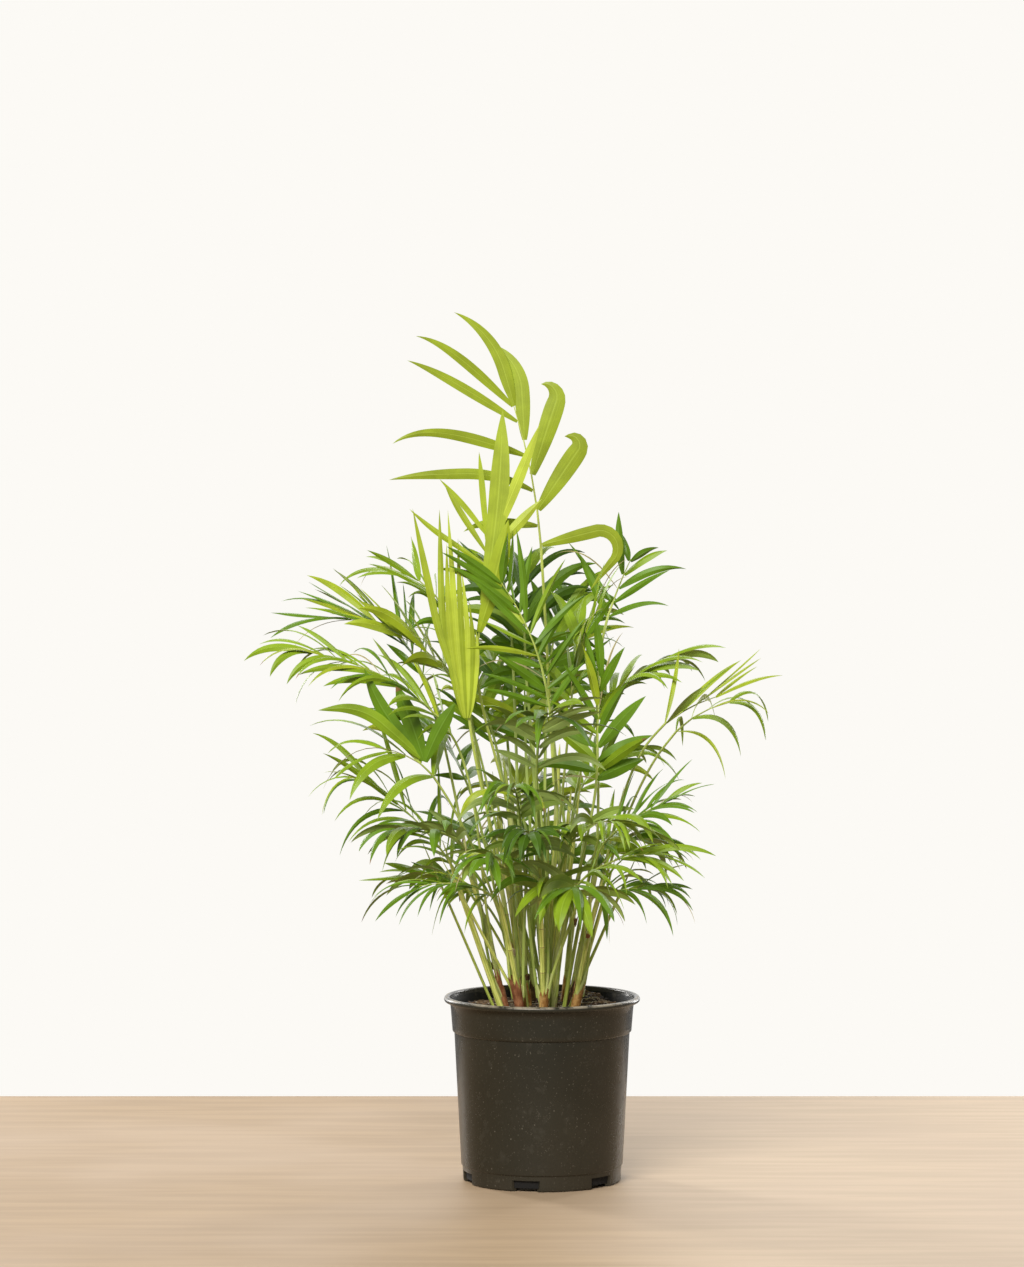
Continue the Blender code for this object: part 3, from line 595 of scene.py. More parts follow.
# The canes. Young stems of the clump stand close together in the mix and fan out, ringed where old leaves
# have fallen, and each ends in the rolled spear of its next leaf.
STEMS = 13
CLUMP_RADIUS = 38 * MM
STEM_LEAN = 13
STEM_FOOT = 3.1 * MM
STEM_TIP = 2.0 * MM
TALL_STEM = 235 * MM
SHORT_STEM = 95 * MM
STEM_VARY = 12 * MM
STEM_BOW = 0.08
STEM_WANDER = 14
STEM_STEPS = 5
STEM_SIDES = 6
FIRST_STEM = 30
GOLDEN = 137.508
NEAR = 0.45 * MM
NOT_ALONG = Vector((0.3, -1, 0.1))              # a way that no cane or petiole runs
placed = []                 # (owner, lowest corner, highest corner, tree of faces) of what stands already


def corners(points):
    return [Vector(map(f, zip(*points))) for f in (min, max)]


def remember(owner, points, faces):
    low, high = corners(points)
    placed.append((owner, low, high, BVHTree.FromPolygons(points, faces)))


def is_clear(points, faces, but=None):
    """Whether a shape touches nothing that stands already. Shapes whose owner is `but` aren't looked at."""
    low, high = corners(points)
    tree = None
    for owner, other_low, other_high, other in placed:
        apart = any(low[k] > other_high[k] or other_low[k] > high[k] for k in range(3))
        if owner == but or apart:
            continue
        tree = tree or BVHTree.FromPolygons(points, faces)
        if tree.overlap(other):
            return False
    return True


def unit(bearing, rise):
    """Unit vector at this bearing and this rise from level, in degrees."""
    flat = math.cos(math.radians(rise))
    turn = math.radians(bearing)
    return Vector((flat * math.cos(turn), flat * math.sin(turn), math.sin(math.radians(rise))))


def ring_faces(rows, sides):
    """Faces of a closed tube: its two ends first, and then its sides, row by row."""
    faces = [tuple(range(sides)), tuple(range((rows - 1) * sides, rows * sides))]
    for k in range(rows - 1):
        for j in range(sides):
            a, b = k * sides + j, k * sides + (j + 1) % sides
            faces.append((a, b, b + sides, a + sides))
    return faces


def tube(path, radii, sides):
    """Points and faces of a closed tube along a path, each ring square to it."""
    points = []
    for k, centre in enumerate(path):
        along = (path[min(k + 1, len(path) - 1)] - path[max(k - 1, 0)]).normalized()
        across = along.cross(NOT_ALONG).normalized()
        up = along.cross(across)
        for j in range(sides):
            angle = math.tau * j / sides
            points.append(centre + radii[k] * (math.cos(angle) * across + math.sin(angle) * up))
    return points, ring_faces(len(path), sides)


def round_uvs(faces, sides, rows):
    """UVs for a tube's faces: round it from 0 to 1, and along it in metres. Its two ends come first."""
    uvs = [[(0.5, 0)] * sides, [(0.5, rows[-1])] * sides]
    for k in range(len(faces) - 2):
        row, j = divmod(k, sides)
        left, right = j / sides, (j + 1) / sides
        uvs.append([(left, rows[row]), (right, rows[row]), (right, rows[row + 1]), (left, rows[row + 1])])
    return uvs


CANE_SIDES = 14
CANE_THIN = 0.84            # real canes are a little thinner than the frame's
RING_GAPS = (15, 34)        # mm from one leaf scar to the next
RING_STEPS = ((-1.4, 0.0), (-0.4, 0.26), (0.2, 0.18), (0.9, -0.05))     # mm along and out at each scar
DRY_RINGS = 0.35            # share of the scars that are brown
DEEP_CANES = (1, 3)         # of each five canes, those that are darker
SPEAR_STEPS = ((3, 0.92), (8, 0.78), (13, 0.5), (17, 0.22), (19, 0.06))  # mm past the tip, share of radius
draw = random.Random(11)
wander = random.Random(17)
stems = []
canes = Bunch()
for k in range(STEMS):
    share = math.sqrt((k + 0.35) / STEMS)
    bearing = FIRST_STEM + GOLDEN * k
    foot = CLUMP_RADIUS * share * unit(bearing, 0)
    foot.z = SOIL_HEIGHT + TOUCH
    length = TALL_STEM + (SHORT_STEM - TALL_STEM) * share + draw.uniform(-STEM_VARY, STEM_VARY)
    heading = unit(bearing + draw.uniform(-STEM_WANDER, STEM_WANDER), 90 - STEM_LEAN * share)
    bow = STEM_BOW * length * share * unit(bearing, 0)
    path = []
    radii = []
    for step in range(STEM_STEPS + 1):
        u = step / STEM_STEPS
        path.append(foot + heading * (length * u) + bow * u**2)
        radii.append(STEM_FOOT + (STEM_TIP - STEM_FOOT) * u)
    points, faces = tube(path, radii, STEM_SIDES)
    for j in range(STEM_SIDES):
        points[j].z = foot.z
    name = f"stem_{k + 1:02d}"
    remember(name, points, faces)
    stems.append((name, path, placed[-1][3]))

    rows = [(-1.5 * MM, 1.12, 0)]
    at = wander.uniform(4, 10) * MM
    while at < length - 6 * MM:
        rows += [(at + along * MM, 1, out * MM) for along, out in RING_STEPS]
        gap = wander.uniform(*RING_GAPS) * MM
        rows += [(at + gap * 0.4, 1, -0.12 * MM), (at + gap * 0.7, 1, 0.0)]
        at += gap
    rows += [(length + past * MM, share_left, 0) for past, share_left in SPEAR_STEPS]
    fine_path = []
    fine_radii = []
    for place, wide, out in rows:
        u = place / length
        fine_path.append(foot + heading * place + bow * u * abs(u))
        fine_radii.append((STEM_FOOT + (STEM_TIP - STEM_FOOT) * min(1, u)) * wide * CANE_THIN + out)
    points, faces = tube(fine_path, fine_radii, CANE_SIDES)
    skin = 2 if k % 5 in DEEP_CANES else 0
    kinds = [skin, skin]
    for _, _, out in rows[:-1]:
        kinds += [1 if out > 0.2 * MM and wander.random() < DRY_RINGS else skin] * CANE_SIDES
    canes.grow(points, faces, kinds, round_uvs(faces, CANE_SIDES, [row[0] for row in rows]))


def cane_green(name, colour, paler, roughness):
    """Green skin with fine streaks that run up the stem, and tall dark blotches of painted shade."""
    finish = Finish(name, Roughness=roughness, Specular_IOR_Level=0.3)
    round_it = finish.place.node("UVMap", {"uv_map": "along"})
    streaks = round_it.stretched((11, 20, 1)).grain(1.0, detail=5.0, roughness=0.7)
    # Tall random blotches darken the skin by up to about a third: painted shade.
    shade_blotches = finish.place.stretched((1, 1, 0.3)).grain(110.0)
    skin = streaks.between(0.38, 0.62).mix(colour, paler)
    shaded = tuple(0.45 * c for c in colour)
    finish.set("Base Color", (shade_blotches.between(0.5, 0.72) * 0.6).mix(skin, shaded))
    finish.set("Roughness", roughness + streaks * 0.12)
    finish.relief(streaks, 0.15 * MM)
    return finish


CANE = [
    cane_green("cane_skin", (0.340, 0.390, 0.050), (0.720, 0.710, 0.200), 0.36),
    cane_green("cane_ring", (0.160, 0.095, 0.030), (0.380, 0.290, 0.110), 0.6),
    cane_green("cane_deep", (0.190, 0.255, 0.030), (0.440, 0.480, 0.095), 0.40),
]
cane_piece = canes.piece("canes", CANE, "cane", 40)
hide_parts(*[name for name, _, _ in stems])

# Dry husks. The sheaths of leaves that have died stay on the feet of the canes as crisp brown paper, torn at
# the top, and small stubs of them cling higher up.
HUSK_COLUMNS = 9
HUSK_ROWS = 5
HUSK_THICK = 0.35 * MM
FOOT_HUSKS = (1, 2, 2, 1, 3, 2, 3, 2, 2, 3, 2, 3, 2)       # on each cane
STUBS = (1, 2, 0, 1, 2, 1, 1, 0, 2, 1, 1, 2, 1)
STUB_PLACES = (22, 70)      # mm up the cane
STUB_TALL = (5, 11)
STUB_ROUND = (90, 150)      # degrees round the cane
HUSK_TALL = (16, 44)
HUSK_ROUND = (130, 260)
HUSK_FLARE = (0.4, 2.4)     # mm by which its top stands out
HUSK_KINDS = (4, 3, 3, 2)   # how often each finish comes
FRONT_HUSKS = {5: 2, 7: 1, 9: 0, 10: 1, 12: 0}  # canes with a large one to the front, and its finish
FRONT_TALL = (26, 40)
FRONT_TURN = (245, 295)
husks = Bunch()
draw = random.Random(53)
for cane, ((_, path, _), at_foot, higher) in enumerate(zip(stems, FOOT_HUSKS, STUBS)):
    for k in range(at_foot + higher):
        is_stub = k >= at_foot
        start = draw.uniform(*STUB_PLACES) * MM if is_stub else -1.5 * MM
        tall = draw.uniform(*(STUB_TALL if is_stub else HUSK_TALL)) * MM
        spread = draw.uniform(*(STUB_ROUND if is_stub else HUSK_ROUND))
        turn = draw.uniform(0, 360)
        flare = draw.uniform(*HUSK_FLARE) * MM
        clear = (0.4 + 0.25 * k) * MM
        brown = draw.choices((0, 1, 2, 3), HUSK_KINDS)[0]
        if cane in FRONT_HUSKS and k == 0:
            tall = draw.uniform(*FRONT_TALL) * MM
            turn = draw.uniform(*FRONT_TURN)
            clear = 1.3 * MM
            brown = FRONT_HUSKS[cane]
        ragged = [draw.uniform(0.5, 1) ** (1 + abs(c - HUSK_COLUMNS / 2) * 0.3) for c in range(HUSK_COLUMNS)]
        outer = []
        inner = []
        for row in range(HUSK_ROWS):
            for column in range(HUSK_COLUMNS):
                up = row / (HUSK_ROWS - 1) * ragged[column]
                place = start + tall * up
                u = min(1.0, max(0.0, place / (path[-1].z - path[0].z)))
                middle = path[0].lerp(path[-1], u)
                away = unit(turn + spread * (column / (HUSK_COLUMNS - 1) - 0.5), 0)
                radius = (STEM_FOOT + (STEM_TIP - STEM_FOOT) * u) * CANE_THIN + clear + flare * up**2
                radius += draw.uniform(-0.12, 0.12) * MM
                middle = Vector((middle.x, middle.y, path[0].z + place))
                outer.append(middle + away * (radius + HUSK_THICK))
                inner.append(middle + away * radius)
        n = len(outer)
        faces = []
        for row in range(HUSK_ROWS - 1):
            for column in range(HUSK_COLUMNS - 1):
                a = row * HUSK_COLUMNS + column
                above = a + HUSK_COLUMNS
                faces.append((a, a + 1, above + 1, above))
                faces.append((n + a, n + above, n + above + 1, n + a + 1))
        edge = [*range(HUSK_COLUMNS), *(r * HUSK_COLUMNS - 1 for r in range(2, HUSK_ROWS + 1)),
                *range(n - 2, n - HUSK_COLUMNS - 1, -1),
                *(r * HUSK_COLUMNS for r in range(HUSK_ROWS - 2, 0, -1))]
        faces += [(a, b, n + b, n + a) for a, b in zip(edge, edge[1:] + edge[:1])]
        husks.grow(outer + inner, faces, brown)


def husk_brown(name, colour, paler):
    """Dry paper with darker fibres that run up it."""
    finish = Finish(name, Roughness=0.75, Specular_IOR_Level=0.25)
    fibres = finish.place.stretched((1, 1, 0.12)).grain(900.0, detail=4.0)
    patches = finish.place.grain(160.0, detail=3.0)
    plain = patches.between(0.4, 0.65).mix(colour, paler)
    finish.set("Base Color", (fibres.between(0.5, 0.7) * 0.6).mix(plain, tuple(0.4 * c for c in colour)))
    finish.relief(fibres, 0.2 * MM)
    return finish


HUSK_BROWNS = [
    husk_brown("husk_red", (0.200, 0.066, 0.024), (0.380, 0.165, 0.070)),
    husk_brown("husk_amber", (0.340, 0.150, 0.036), (0.560, 0.330, 0.105)),
    husk_brown("husk_dark", (0.075, 0.036, 0.018), (0.190, 0.100, 0.045)),
    husk_brown("husk_pale", (0.380, 0.290, 0.150), (0.600, 0.500, 0.310)),
]
husk_piece = husks.piece("dry_husks", HUSK_BROWNS, "cane", 40)
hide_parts(*[name for name, _, _ in stems])

# The fronds. Each petiole leaves its cane, arches out to a knee and goes on as the rib, and narrow pointed
# leaflets stand along it on both sides. Where they grow follows the same rule as the frame's fronds.
DOWN = Vector((0, 0, -1))
PETIOLE_FOOT = 1.6 * MM
PETIOLE_END = 1.2 * MM
RIB_TIP = 0.8 * MM
RIB_UNDER = 0.6
RIB_OVER = 1.1
PETIOLE_STEPS = 7
FOOT_PULL = 0.9
KNEE_PULL = 0.8
FOOT_SPLAY = 0.12
LOW_KNEE = 240 * MM
HIGH_KNEE = 500 * MM
LOWEST_FOOT = 14 * MM
FOOT_SHARES = (0.1, 0.92)
NEXT_FOOT = 0.12
OTHER_FEET = (0, -0.15, 0.15, -0.3, 0.3)
UNDER_KNEE = 0.55
CROWDED = 9 * MM
SWINGS = (0, 35, -35, 70, -70, 110, -110, 150)
SWAYS = (0, 6, -6, 12, -12, 20, -20)
SEATINGS = 4
STALK = 4.5 * MM
BLADE_STEPS = 12
BLADE_SECTIONS = ((4, 1.0), (8, 0.86))
BLADE_THICK = 0.014
RIDGE = 0.10
EARLY_SAG = 0.2
KNEE_TAPER = 0.12
LENGTHS = (0.94, 1.04)
WIDTHS = (0.9, 1.08)
DROOPS = (0.85, 1.15)
LIFTS = (0.0, 0.2)
TWIST = 14
TRIES = 14
EARLY_TRIES = 8
SHORTER = 0.72
SPREAD_TRIES = 6
STRAY_ANGLE = 26
STRAY_DROOP = (-0.3, 0.5)
STRAY_LIFT = 0.35


class Frond(NamedTuple):
    """One frond in mm and degrees. Its knee is where the petiole ends and the leaflets begin."""

    name: str
    knee: tuple             # to the right, to the back, up
    bearing: float          # where the rib heads from the knee
    rise: float             # and how steeply
    arch: float             # how far it bends down to its tip
    rachis: float           # length of the rib from the knee
    pairs: int
    length: float           # of the longest leaflets
    width: float
    first_set: float        # angle between leaflet and rib, at the knee
    last_set: float         # and at the tip
    droop: float
    roll: float = 0         # how far the frond's face is turned round its rib
    lean: float = 0         # share by which the left leaflets stand wider than the right ones
    stiff: float = 1        # how much of the droop is left to the leaflet's end
    taper: float = 0.25     # share by which the last leaflets are shorter
    green: str = "grown"
    leaves: tuple = ()      # leaflets of its own: those on the left and those on the right


class Leaf(NamedTuple):
    """One leaflet of a frond whose leaflets all differ, in mm and degrees."""

    angle: float            # to the rib
    length: float
    width: float
    droop: float
    fold: float = 0         # how far it is folded over to the left
    fold_from: float = 0    # shares of its length where that begins
    fold_to: float = 1      # and ends


NO_FOLD = (0, 0, 1)
TOP_LEFT = (
    Leaf(78, 68, 9, 0.8), Leaf(56, 127, 10, 0.2, 28, 0, 0.5), Leaf(60, 124, 10, 0.9), Leaf(46, 108, 9, 0.25),
    Leaf(32, 106, 9, 0.7),
)
TOP_RIGHT = (
    Leaf(78, 118, 12, 0.3, -150, 0.4, 0.75), Leaf(41, 84, 18, 0.1, 120, 0.75, 0.95),
    Leaf(29, 92, 18, 0.1, 110, 0.75, 1), Leaf(11, 98, 14, 0.1, 66, 0.45, 1),
    Leaf(-1, 98, 12, 0.1, 48, 0.3, 1),
)

SHOWN = (
    Frond("top", (-1, 0, 548), 180, 86, 14, 127, 5, 105, 12, 60, 20, 0.6, roll=84, stiff=3, green="new",
          leaves=(TOP_LEFT, TOP_RIGHT)),
    Frond("spear_right", (-56, -22, 462), 0, 83, 2, 112, 4, 102, 15, 32, 15, 0.1, roll=-86, lean=0.15,
          green="new"),
    Frond("spear_left", (-64, -40, 428), 180, 91, 8, 62, 4, 114, 10, 26, 4, 0.06, roll=86, lean=0.5,
          green="new"),
    Frond("comb", (4, -28, 425), 180, 80, 26, 104, 6, 74, 8, 58, 24, 0.35, roll=70, lean=0.05),
    Frond("left_high", (-112, 26, 454), 174, 60, 62, 68, 5, 76, 9, 46, 16, 0.5, roll=26),
    Frond("left_back", (-82, 34, 486), 160, 70, 60, 66, 4, 64, 7, 54, 20, 1.0, roll=10),
    Frond("left_arch", (-88, -30, 402), 186, 46, 38, 128, 7, 74, 9, 54, 16, 0.95, roll=24),
    Frond("left_broad", (-92, -48, 352), 190, 54, 50, 50, 4, 88, 13, 48, 14, 0.5, roll=30),
    Frond("left_low", (-82, -8, 280), 180, 56, 24, 92, 6, 68, 7, 58, 26, 1.5, roll=30),
    Frond("left_lowest", (-50, -50, 256), 195, 22, 34, 58, 4, 50, 7, 50, 18, 0.9, roll=24),
    Frond("right_high", (57, 26, 486), 10, 72, 8, 56, 5, 76, 8, 56, 36, 0.5, roll=-60, taper=0.55),
    Frond("right_inner", (26, -12, 428), 330, 84, 30, 66, 4, 70, 11, 50, 16, 0.5, roll=-40),
    Frond("right_middle", (47, -42, 364), 350, 90, 4, 76, 4, 60, 12, 52, 8, 0.35, roll=-80, lean=0.2),
    Frond("right_reach", (104, -26, 396), 354, 40, 24, 54, 4, 66, 8, 28, 8, 0.3, roll=-26),
    Frond("right_hanging", (116, 30, 386), 6, 46, 36, 58, 4, 76, 8, 50, 22, 2.6, roll=-20),
    Frond("right_mid", (60, -46, 304), 355, 40, 18, 54, 5, 54, 8, 50, 16, 0.55, roll=-28),
    Frond("right_low", (40, -62, 272), 344, 34, 34, 62, 5, 52, 7, 52, 18, 0.8, roll=-30),
    Frond("right_lowest", (52, -36, 252), 352, 16, 22, 46, 4, 52, 7, 54, 18, 2.0, roll=-26),
    Frond("front_low", (30, -60, 256), 262, 34, 54, 36, 3, 62, 14, 60, 16, 0.7),
)
FILL = 26
FILL_LOW = 1.3
FILL_FRONT = 0.55
FILL_CENTRE = -14
FILL_REACH = (48, 18)
FILL_LOWEST = (252, 28, 42, 52, 60, 1.3)
FILL_HIGHEST = (466, 72, 46, 78, 76, 0.5)
FILL_PAIRS = 4
FILL_WIDTH = 10
FILL_SETS = (54, 18)
FILL_FIRST = 36
FILL_VARY = (10, 18, 12, 6)
SQUEEZE = 24


def filled_crown():
    """Fronds of the same kind that fill the crown, up a spiral pressed towards the front and the back."""
    draw = random.Random(23)
    fronds = []
    for k in range(FILL):
        share = (k / (FILL - 1)) ** FILL_LOW
        reach = FILL_REACH[0] + FILL_REACH[1] * math.sin(math.pi * share)
        height, rise, arch, rachis, length, droop = (
            low + (high - low) * share for low, high in zip(FILL_LOWEST, FILL_HIGHEST))
        reach, height, rise, length = (
            value + draw.uniform(-vary, vary)
            for value, vary in zip((reach, height, rise, length), FILL_VARY))
        bearing = FILL_FIRST + GOLDEN * k
        bearing += SQUEEZE * math.sin(math.radians(2 * bearing))
        if share > FILL_FRONT and math.sin(math.radians(bearing)) < 0:
            bearing = -bearing
        out = reach * unit(bearing, 0)
        knee = (FILL_CENTRE + out.x, out.y, height)
        fronds.append(Frond(f"fill_{k + 1:02d}", knee, bearing, rise, arch, rachis, FILL_PAIRS, length,
                            FILL_WIDTH, *FILL_SETS, droop, green="old"))
    return fronds


def hermite(start, start_pull, end, end_pull, u):
    return (
        start * (2 * u**3 - 3 * u**2 + 1)
        + start_pull * (u**3 - 2 * u**2 + u)
        + end * (3 * u**2 - 2 * u**3)
        + end_pull * (u**3 - u**2)
    )


def along_stem(path, height):
    """Point of a stem's middle line at a height, and its direction there."""
    for low, high in zip(path, path[1:]):
        if high.z >= height or high is path[-1]:
            share = min(1.0, max(0.0, (height - low.z) / (high.z - low.z)))
            return low.lerp(high, share), (high - low).normalized()


def rib_frames(frond, foot, pull, bow):
    """Rings of a frond's rib: (centre, along, side, normal, radius, number of the leaflet pair there)."""
    knee = Vector(frond.knee) * MM
    rachis = frond.rachis * MM
    start = unit(frond.bearing, frond.rise)
    span = (knee - foot).length
    path = []
    for k in range(PETIOLE_STEPS):
        u = k / PETIOLE_STEPS
        sway = bow * math.sin(math.pi * u)
        path.append((hermite(foot, pull * span * FOOT_PULL, knee, start * span * KNEE_PULL, u) + sway, None))
    point = knee.copy()
    gap = (rachis - STALK * frond.pairs) / (frond.pairs - 1)
    done = 0.0
    for pair in range(frond.pairs):
        for mark, run in ((pair, STALK), (None, gap)):
            path.append((point.copy(), mark))
            if pair == frond.pairs - 1 and mark is None:
                break
            done += run
            point = point + run * unit(frond.bearing, frond.rise - frond.arch * (done - run / 2) / rachis)
    level = unit(frond.bearing - 90, 0)
    rings = []
    for k, (centre, mark) in enumerate(path):
        along = (path[min(k + 1, len(path) - 1)][0] - path[max(k - 1, 0)][0]).normalized()
        side = (level - level.dot(along) * along).normalized()
        normal = side.cross(along)
        turn = math.radians(frond.roll) * min(1.0, k / PETIOLE_STEPS)
        side, normal = (
            math.cos(turn) * side + math.sin(turn) * normal,
            math.cos(turn) * normal - math.sin(turn) * side,
        )
        share = k / PETIOLE_STEPS
        radius = PETIOLE_FOOT + (PETIOLE_END - PETIOLE_FOOT) * share
        if k > PETIOLE_STEPS:
            share = (k - PETIOLE_STEPS) / (len(path) - 1 - PETIOLE_STEPS)
            radius = PETIOLE_END + (RIB_TIP - PETIOLE_END) * share
        rings.append((centre, along, side, normal, radius, mark))
    return rings


def rib_solid(rings):
    """Points of the three-sided rib, and its faces as {(ring, side): face}."""
    points = []
    for centre, _, side, normal, radius, _ in rings:
        points.append(centre - radius * side - RIB_UNDER * radius * normal)
        points.append(centre + radius * side - RIB_UNDER * radius * normal)
        points.append(centre + RIB_OVER * radius * normal)
    faces = {("foot", 0): (0, 1, 2), ("tip", 0): tuple(range(len(points) - 3, len(points)))}
    for k in range(len(rings) - 1):
        a = 3 * k
        faces[k, 0] = (a, a + 1, a + 4, a + 3)
        faces[k, 1] = (a + 1, a + 4, a + 5, a + 2)
        faces[k, -1] = (a, a + 3, a + 5, a + 2)
    return points, faces


def way_up(frond, knee, stem, share):
    """A frond's rib from a stem's side, at this share of the stem's height, or None if nothing is clear."""
    name, path, tree = stem
    height = SOIL_HEIGHT + max(LOWEST_FOOT, min(FOOT_SHARES[1], share) * (path[-1].z - SOIL_HEIGHT))
    middle, heading = along_stem(path, height)
    out = knee - middle
    out = (out - out.dot(heading) * heading).normalized()
    for swing in SWINGS:
        away = Matrix.Rotation(math.radians(swing), 3, heading) @ out
        pull = (heading + away * FOOT_SPLAY).normalized()
        for sway in SWAYS:
            bow = sway * MM * heading.cross(away)
            reach = STEM_FOOT + PETIOLE_FOOT + TOUCH
            for _ in range(SEATINGS):
                rings = rib_frames(frond, middle + away * reach, pull, bow)
                points, faces = rib_solid(rings)
                foot = points[:3] + [points[j].lerp(points[(j + 1) % 3], 0.5) for j in range(3)]
                reach -= min(tree.find_nearest(point)[3] for point in foot) - TOUCH
            thick = [(*ring[:4], ring[4] + NEAR, ring[5]) for ring in rings]
            swollen, swollen_faces = rib_solid(thick)
            beside = is_clear(swollen, list(swollen_faces.values()), but=name)
            if beside and is_clear(points, list(faces.values())):
                return rings, points, faces, middle
    return None


def blade_line(shape, steps, sickle=0.0, curl=0.0):
    """A leaflet's middle line: (point, heading, face) at each step.

    A sickle bends it in its own plane, and a curl turns its face round it from foot to tip.
    """
    root, along, side, normal, hand, angle, length, _, droop, stiff, fold, lift, twist = shape
    fold, fold_from, fold_to = fold
    turn = math.radians(angle)
    heading = (math.cos(turn) * along + hand * math.sin(turn) * side + lift * normal).normalized()
    face = (normal - normal.dot(heading) * heading).normalized()
    face = Matrix.Rotation(math.radians(twist) * hand, 3, heading) @ face
    point = root.copy()
    line = [(point, heading, face)]
    for k in range(steps):
        late = (stiff + 1) * ((k + 0.5) / steps) ** stiff
        sag = (EARLY_SAG + (1 - EARLY_SAG) * late) * droop / steps
        heading = (heading + DOWN * sag).normalized()
        bend = sickle / steps
        if fold_from <= k / steps < fold_to:
            bend += fold / (steps * (fold_to - fold_from))
        heading = Matrix.Rotation(math.radians(bend), 3, face) @ heading
        face = (face - face.dot(heading) * heading).normalized()
        face = Matrix.Rotation(math.radians(curl) / steps, 3, heading) @ face
        point = point + heading * (length / steps)
        line.append((point, heading, face))
    return line


def blade(shape, grow=0.0):
    """Sections of the frame's leaflet, each four points, and its tip."""
    line = blade_line(shape, BLADE_STEPS)
    hand, length, width = shape[4], shape[6], shape[7]
    thick = BLADE_THICK * length + 2 * grow
    sections = []
    for step, share in BLADE_SECTIONS:
        centre, heading, face = line[step]
        across = heading.cross(face) * hand
        half = width * share / 2 + grow
        ridge = RIDGE * width * face
        sections.append((
            centre + across * half,
            centre + ridge - face * thick / 2,
            centre - across * half,
            centre + ridge + face * thick / 2,
        ))
    return sections, line[-1][0] + line[-1][1] * grow * 2


def blade_faces(first, base, last):
    """Faces from four base corners over two sections at `first` to the tip at `last`."""
    faces = []
    below = base
    for start in (first, first + 4):
        above = [start, start + 1, start + 2, start + 3]
        for j in range(4):
            after = (j + 1) % 4
            faces.append((below[j], below[after], above[after]))
            faces.append((below[j], above[after], above[j]))
        below = above
    faces += [(below[j], below[(j + 1) % 4], last) for j in range(4)]
    return faces


def leaflet_shape(draw, frond, share, frame_here, root, hand, attempt, sizes):
    """How one leaflet grows, as blade_line takes it. Later attempts stray further from the rule."""
    _, along, side, normal, _, _ = frame_here
    length, width, droop, fold, angle = sizes
    if angle is None:
        angle = (frond.first_set + (frond.last_set - frond.first_set) * share) * (1 - hand * frond.lean)
    spread = min(1.0, attempt / SPREAD_TRIES)
    return (
        root, along, side, normal, hand,
        angle + draw.uniform(-STRAY_ANGLE, STRAY_ANGLE) * spread,
        length * MM * (1 if attempt < EARLY_TRIES else SHORTER),
        width * MM,
        droop + draw.uniform(*STRAY_DROOP) * spread,
        frond.stiff,
        fold,
        draw.uniform(*LIFTS) + draw.uniform(-STRAY_LIFT, STRAY_LIFT) * spread,
        draw.uniform(-TWIST, TWIST),
    )


def leaflet_sizes(draw, frond, share, hand, pair=None):
    """Length, width, droop, fold and, on the tall frond, the set of a leaflet at this share of the rib."""
    length = frond.length * (1 - frond.taper * share**2 - KNEE_TAPER * (1 - share) ** 3)
    length *= draw.uniform(*LENGTHS)
    width = frond.width * draw.uniform(*WIDTHS)
    droop = frond.droop * draw.uniform(*DROOPS)
    if frond.leaves and pair is not None:
        angle, length, width, droop, *fold = frond.leaves[hand > 0][pair]
        return length, width, droop, fold, angle
    return length, width, droop, NO_FOLD, None


fronds = list(SHOWN) + filled_crown()
used = [0] * len(stems)
ribs = []
for frond in fronds:
    knee = Vector(frond.knee) * MM
    order = sorted(range(len(stems)), key=lambda k: (
        (stems[k][1][-1].xy - knee.xy * UNDER_KNEE).length + CROWDED * used[k], k))
    share = max(FOOT_SHARES[0], (knee.z - LOW_KNEE) / (HIGH_KNEE - LOW_KNEE))
    rib = None
    for k, other in itertools.product(order, OTHER_FEET):
        rib = way_up(frond, knee, stems[k], share - NEXT_FOOT * used[k] + other)
        if rib:
            break
    used[k] += 1
    rings, points, faces, stem_middle = rib
    remember(frond.name + "_rib", points, list(faces.values()))
    ribs.append((frond, rings, points, stems[k], stem_middle))

draw = random.Random(7)
grown = []                  # (frond, share of the rib, hand, shape)
for frond, rings, points, _, _ in ribs:
    for ring in reversed(range(len(rings))):
        pair = rings[ring][5]
        if pair is None:
            continue
        for hand in (1, -1):
            share = pair / (frond.pairs - 1)
            sizes = leaflet_sizes(draw, frond, share, hand, pair)
            root = rings[ring][0].lerp(rings[ring + 1][0], 0.5) + hand * rings[ring][2] * rings[ring][4]
            base = {1: (3 * ring + 1, 3 * ring + 4, 3 * ring + 5, 3 * ring + 2),
                    -1: (3 * ring, 3 * ring + 3, 3 * ring + 5, 3 * ring + 2)}[hand]
            for attempt in range(TRIES):
                shape = leaflet_shape(draw, frond, share, rings[ring], root, hand, attempt, sizes)
                swollen, swollen_tip = blade(shape, NEAR)
                test = [points[k] for k in base] + [p for section in swollen for p in section] + [swollen_tip]
                faces = blade_faces(4, (0, 1, 2, 3), 12)
                if is_clear(test, faces, but=frond.name + "_rib") and is_clear(test, faces[8:]):
                    break
            else:
                continue
            sections, tip = blade(shape)
            solid_points = [p for section in sections for p in section] + [tip]
            remember(frond.name + "_leaf", solid_points, blade_faces(0, (0, 1, 2, 3), 8)[8:])
            remember(frond.name + "_leaf", test, faces)
            grown.append((frond, share, hand, shape))

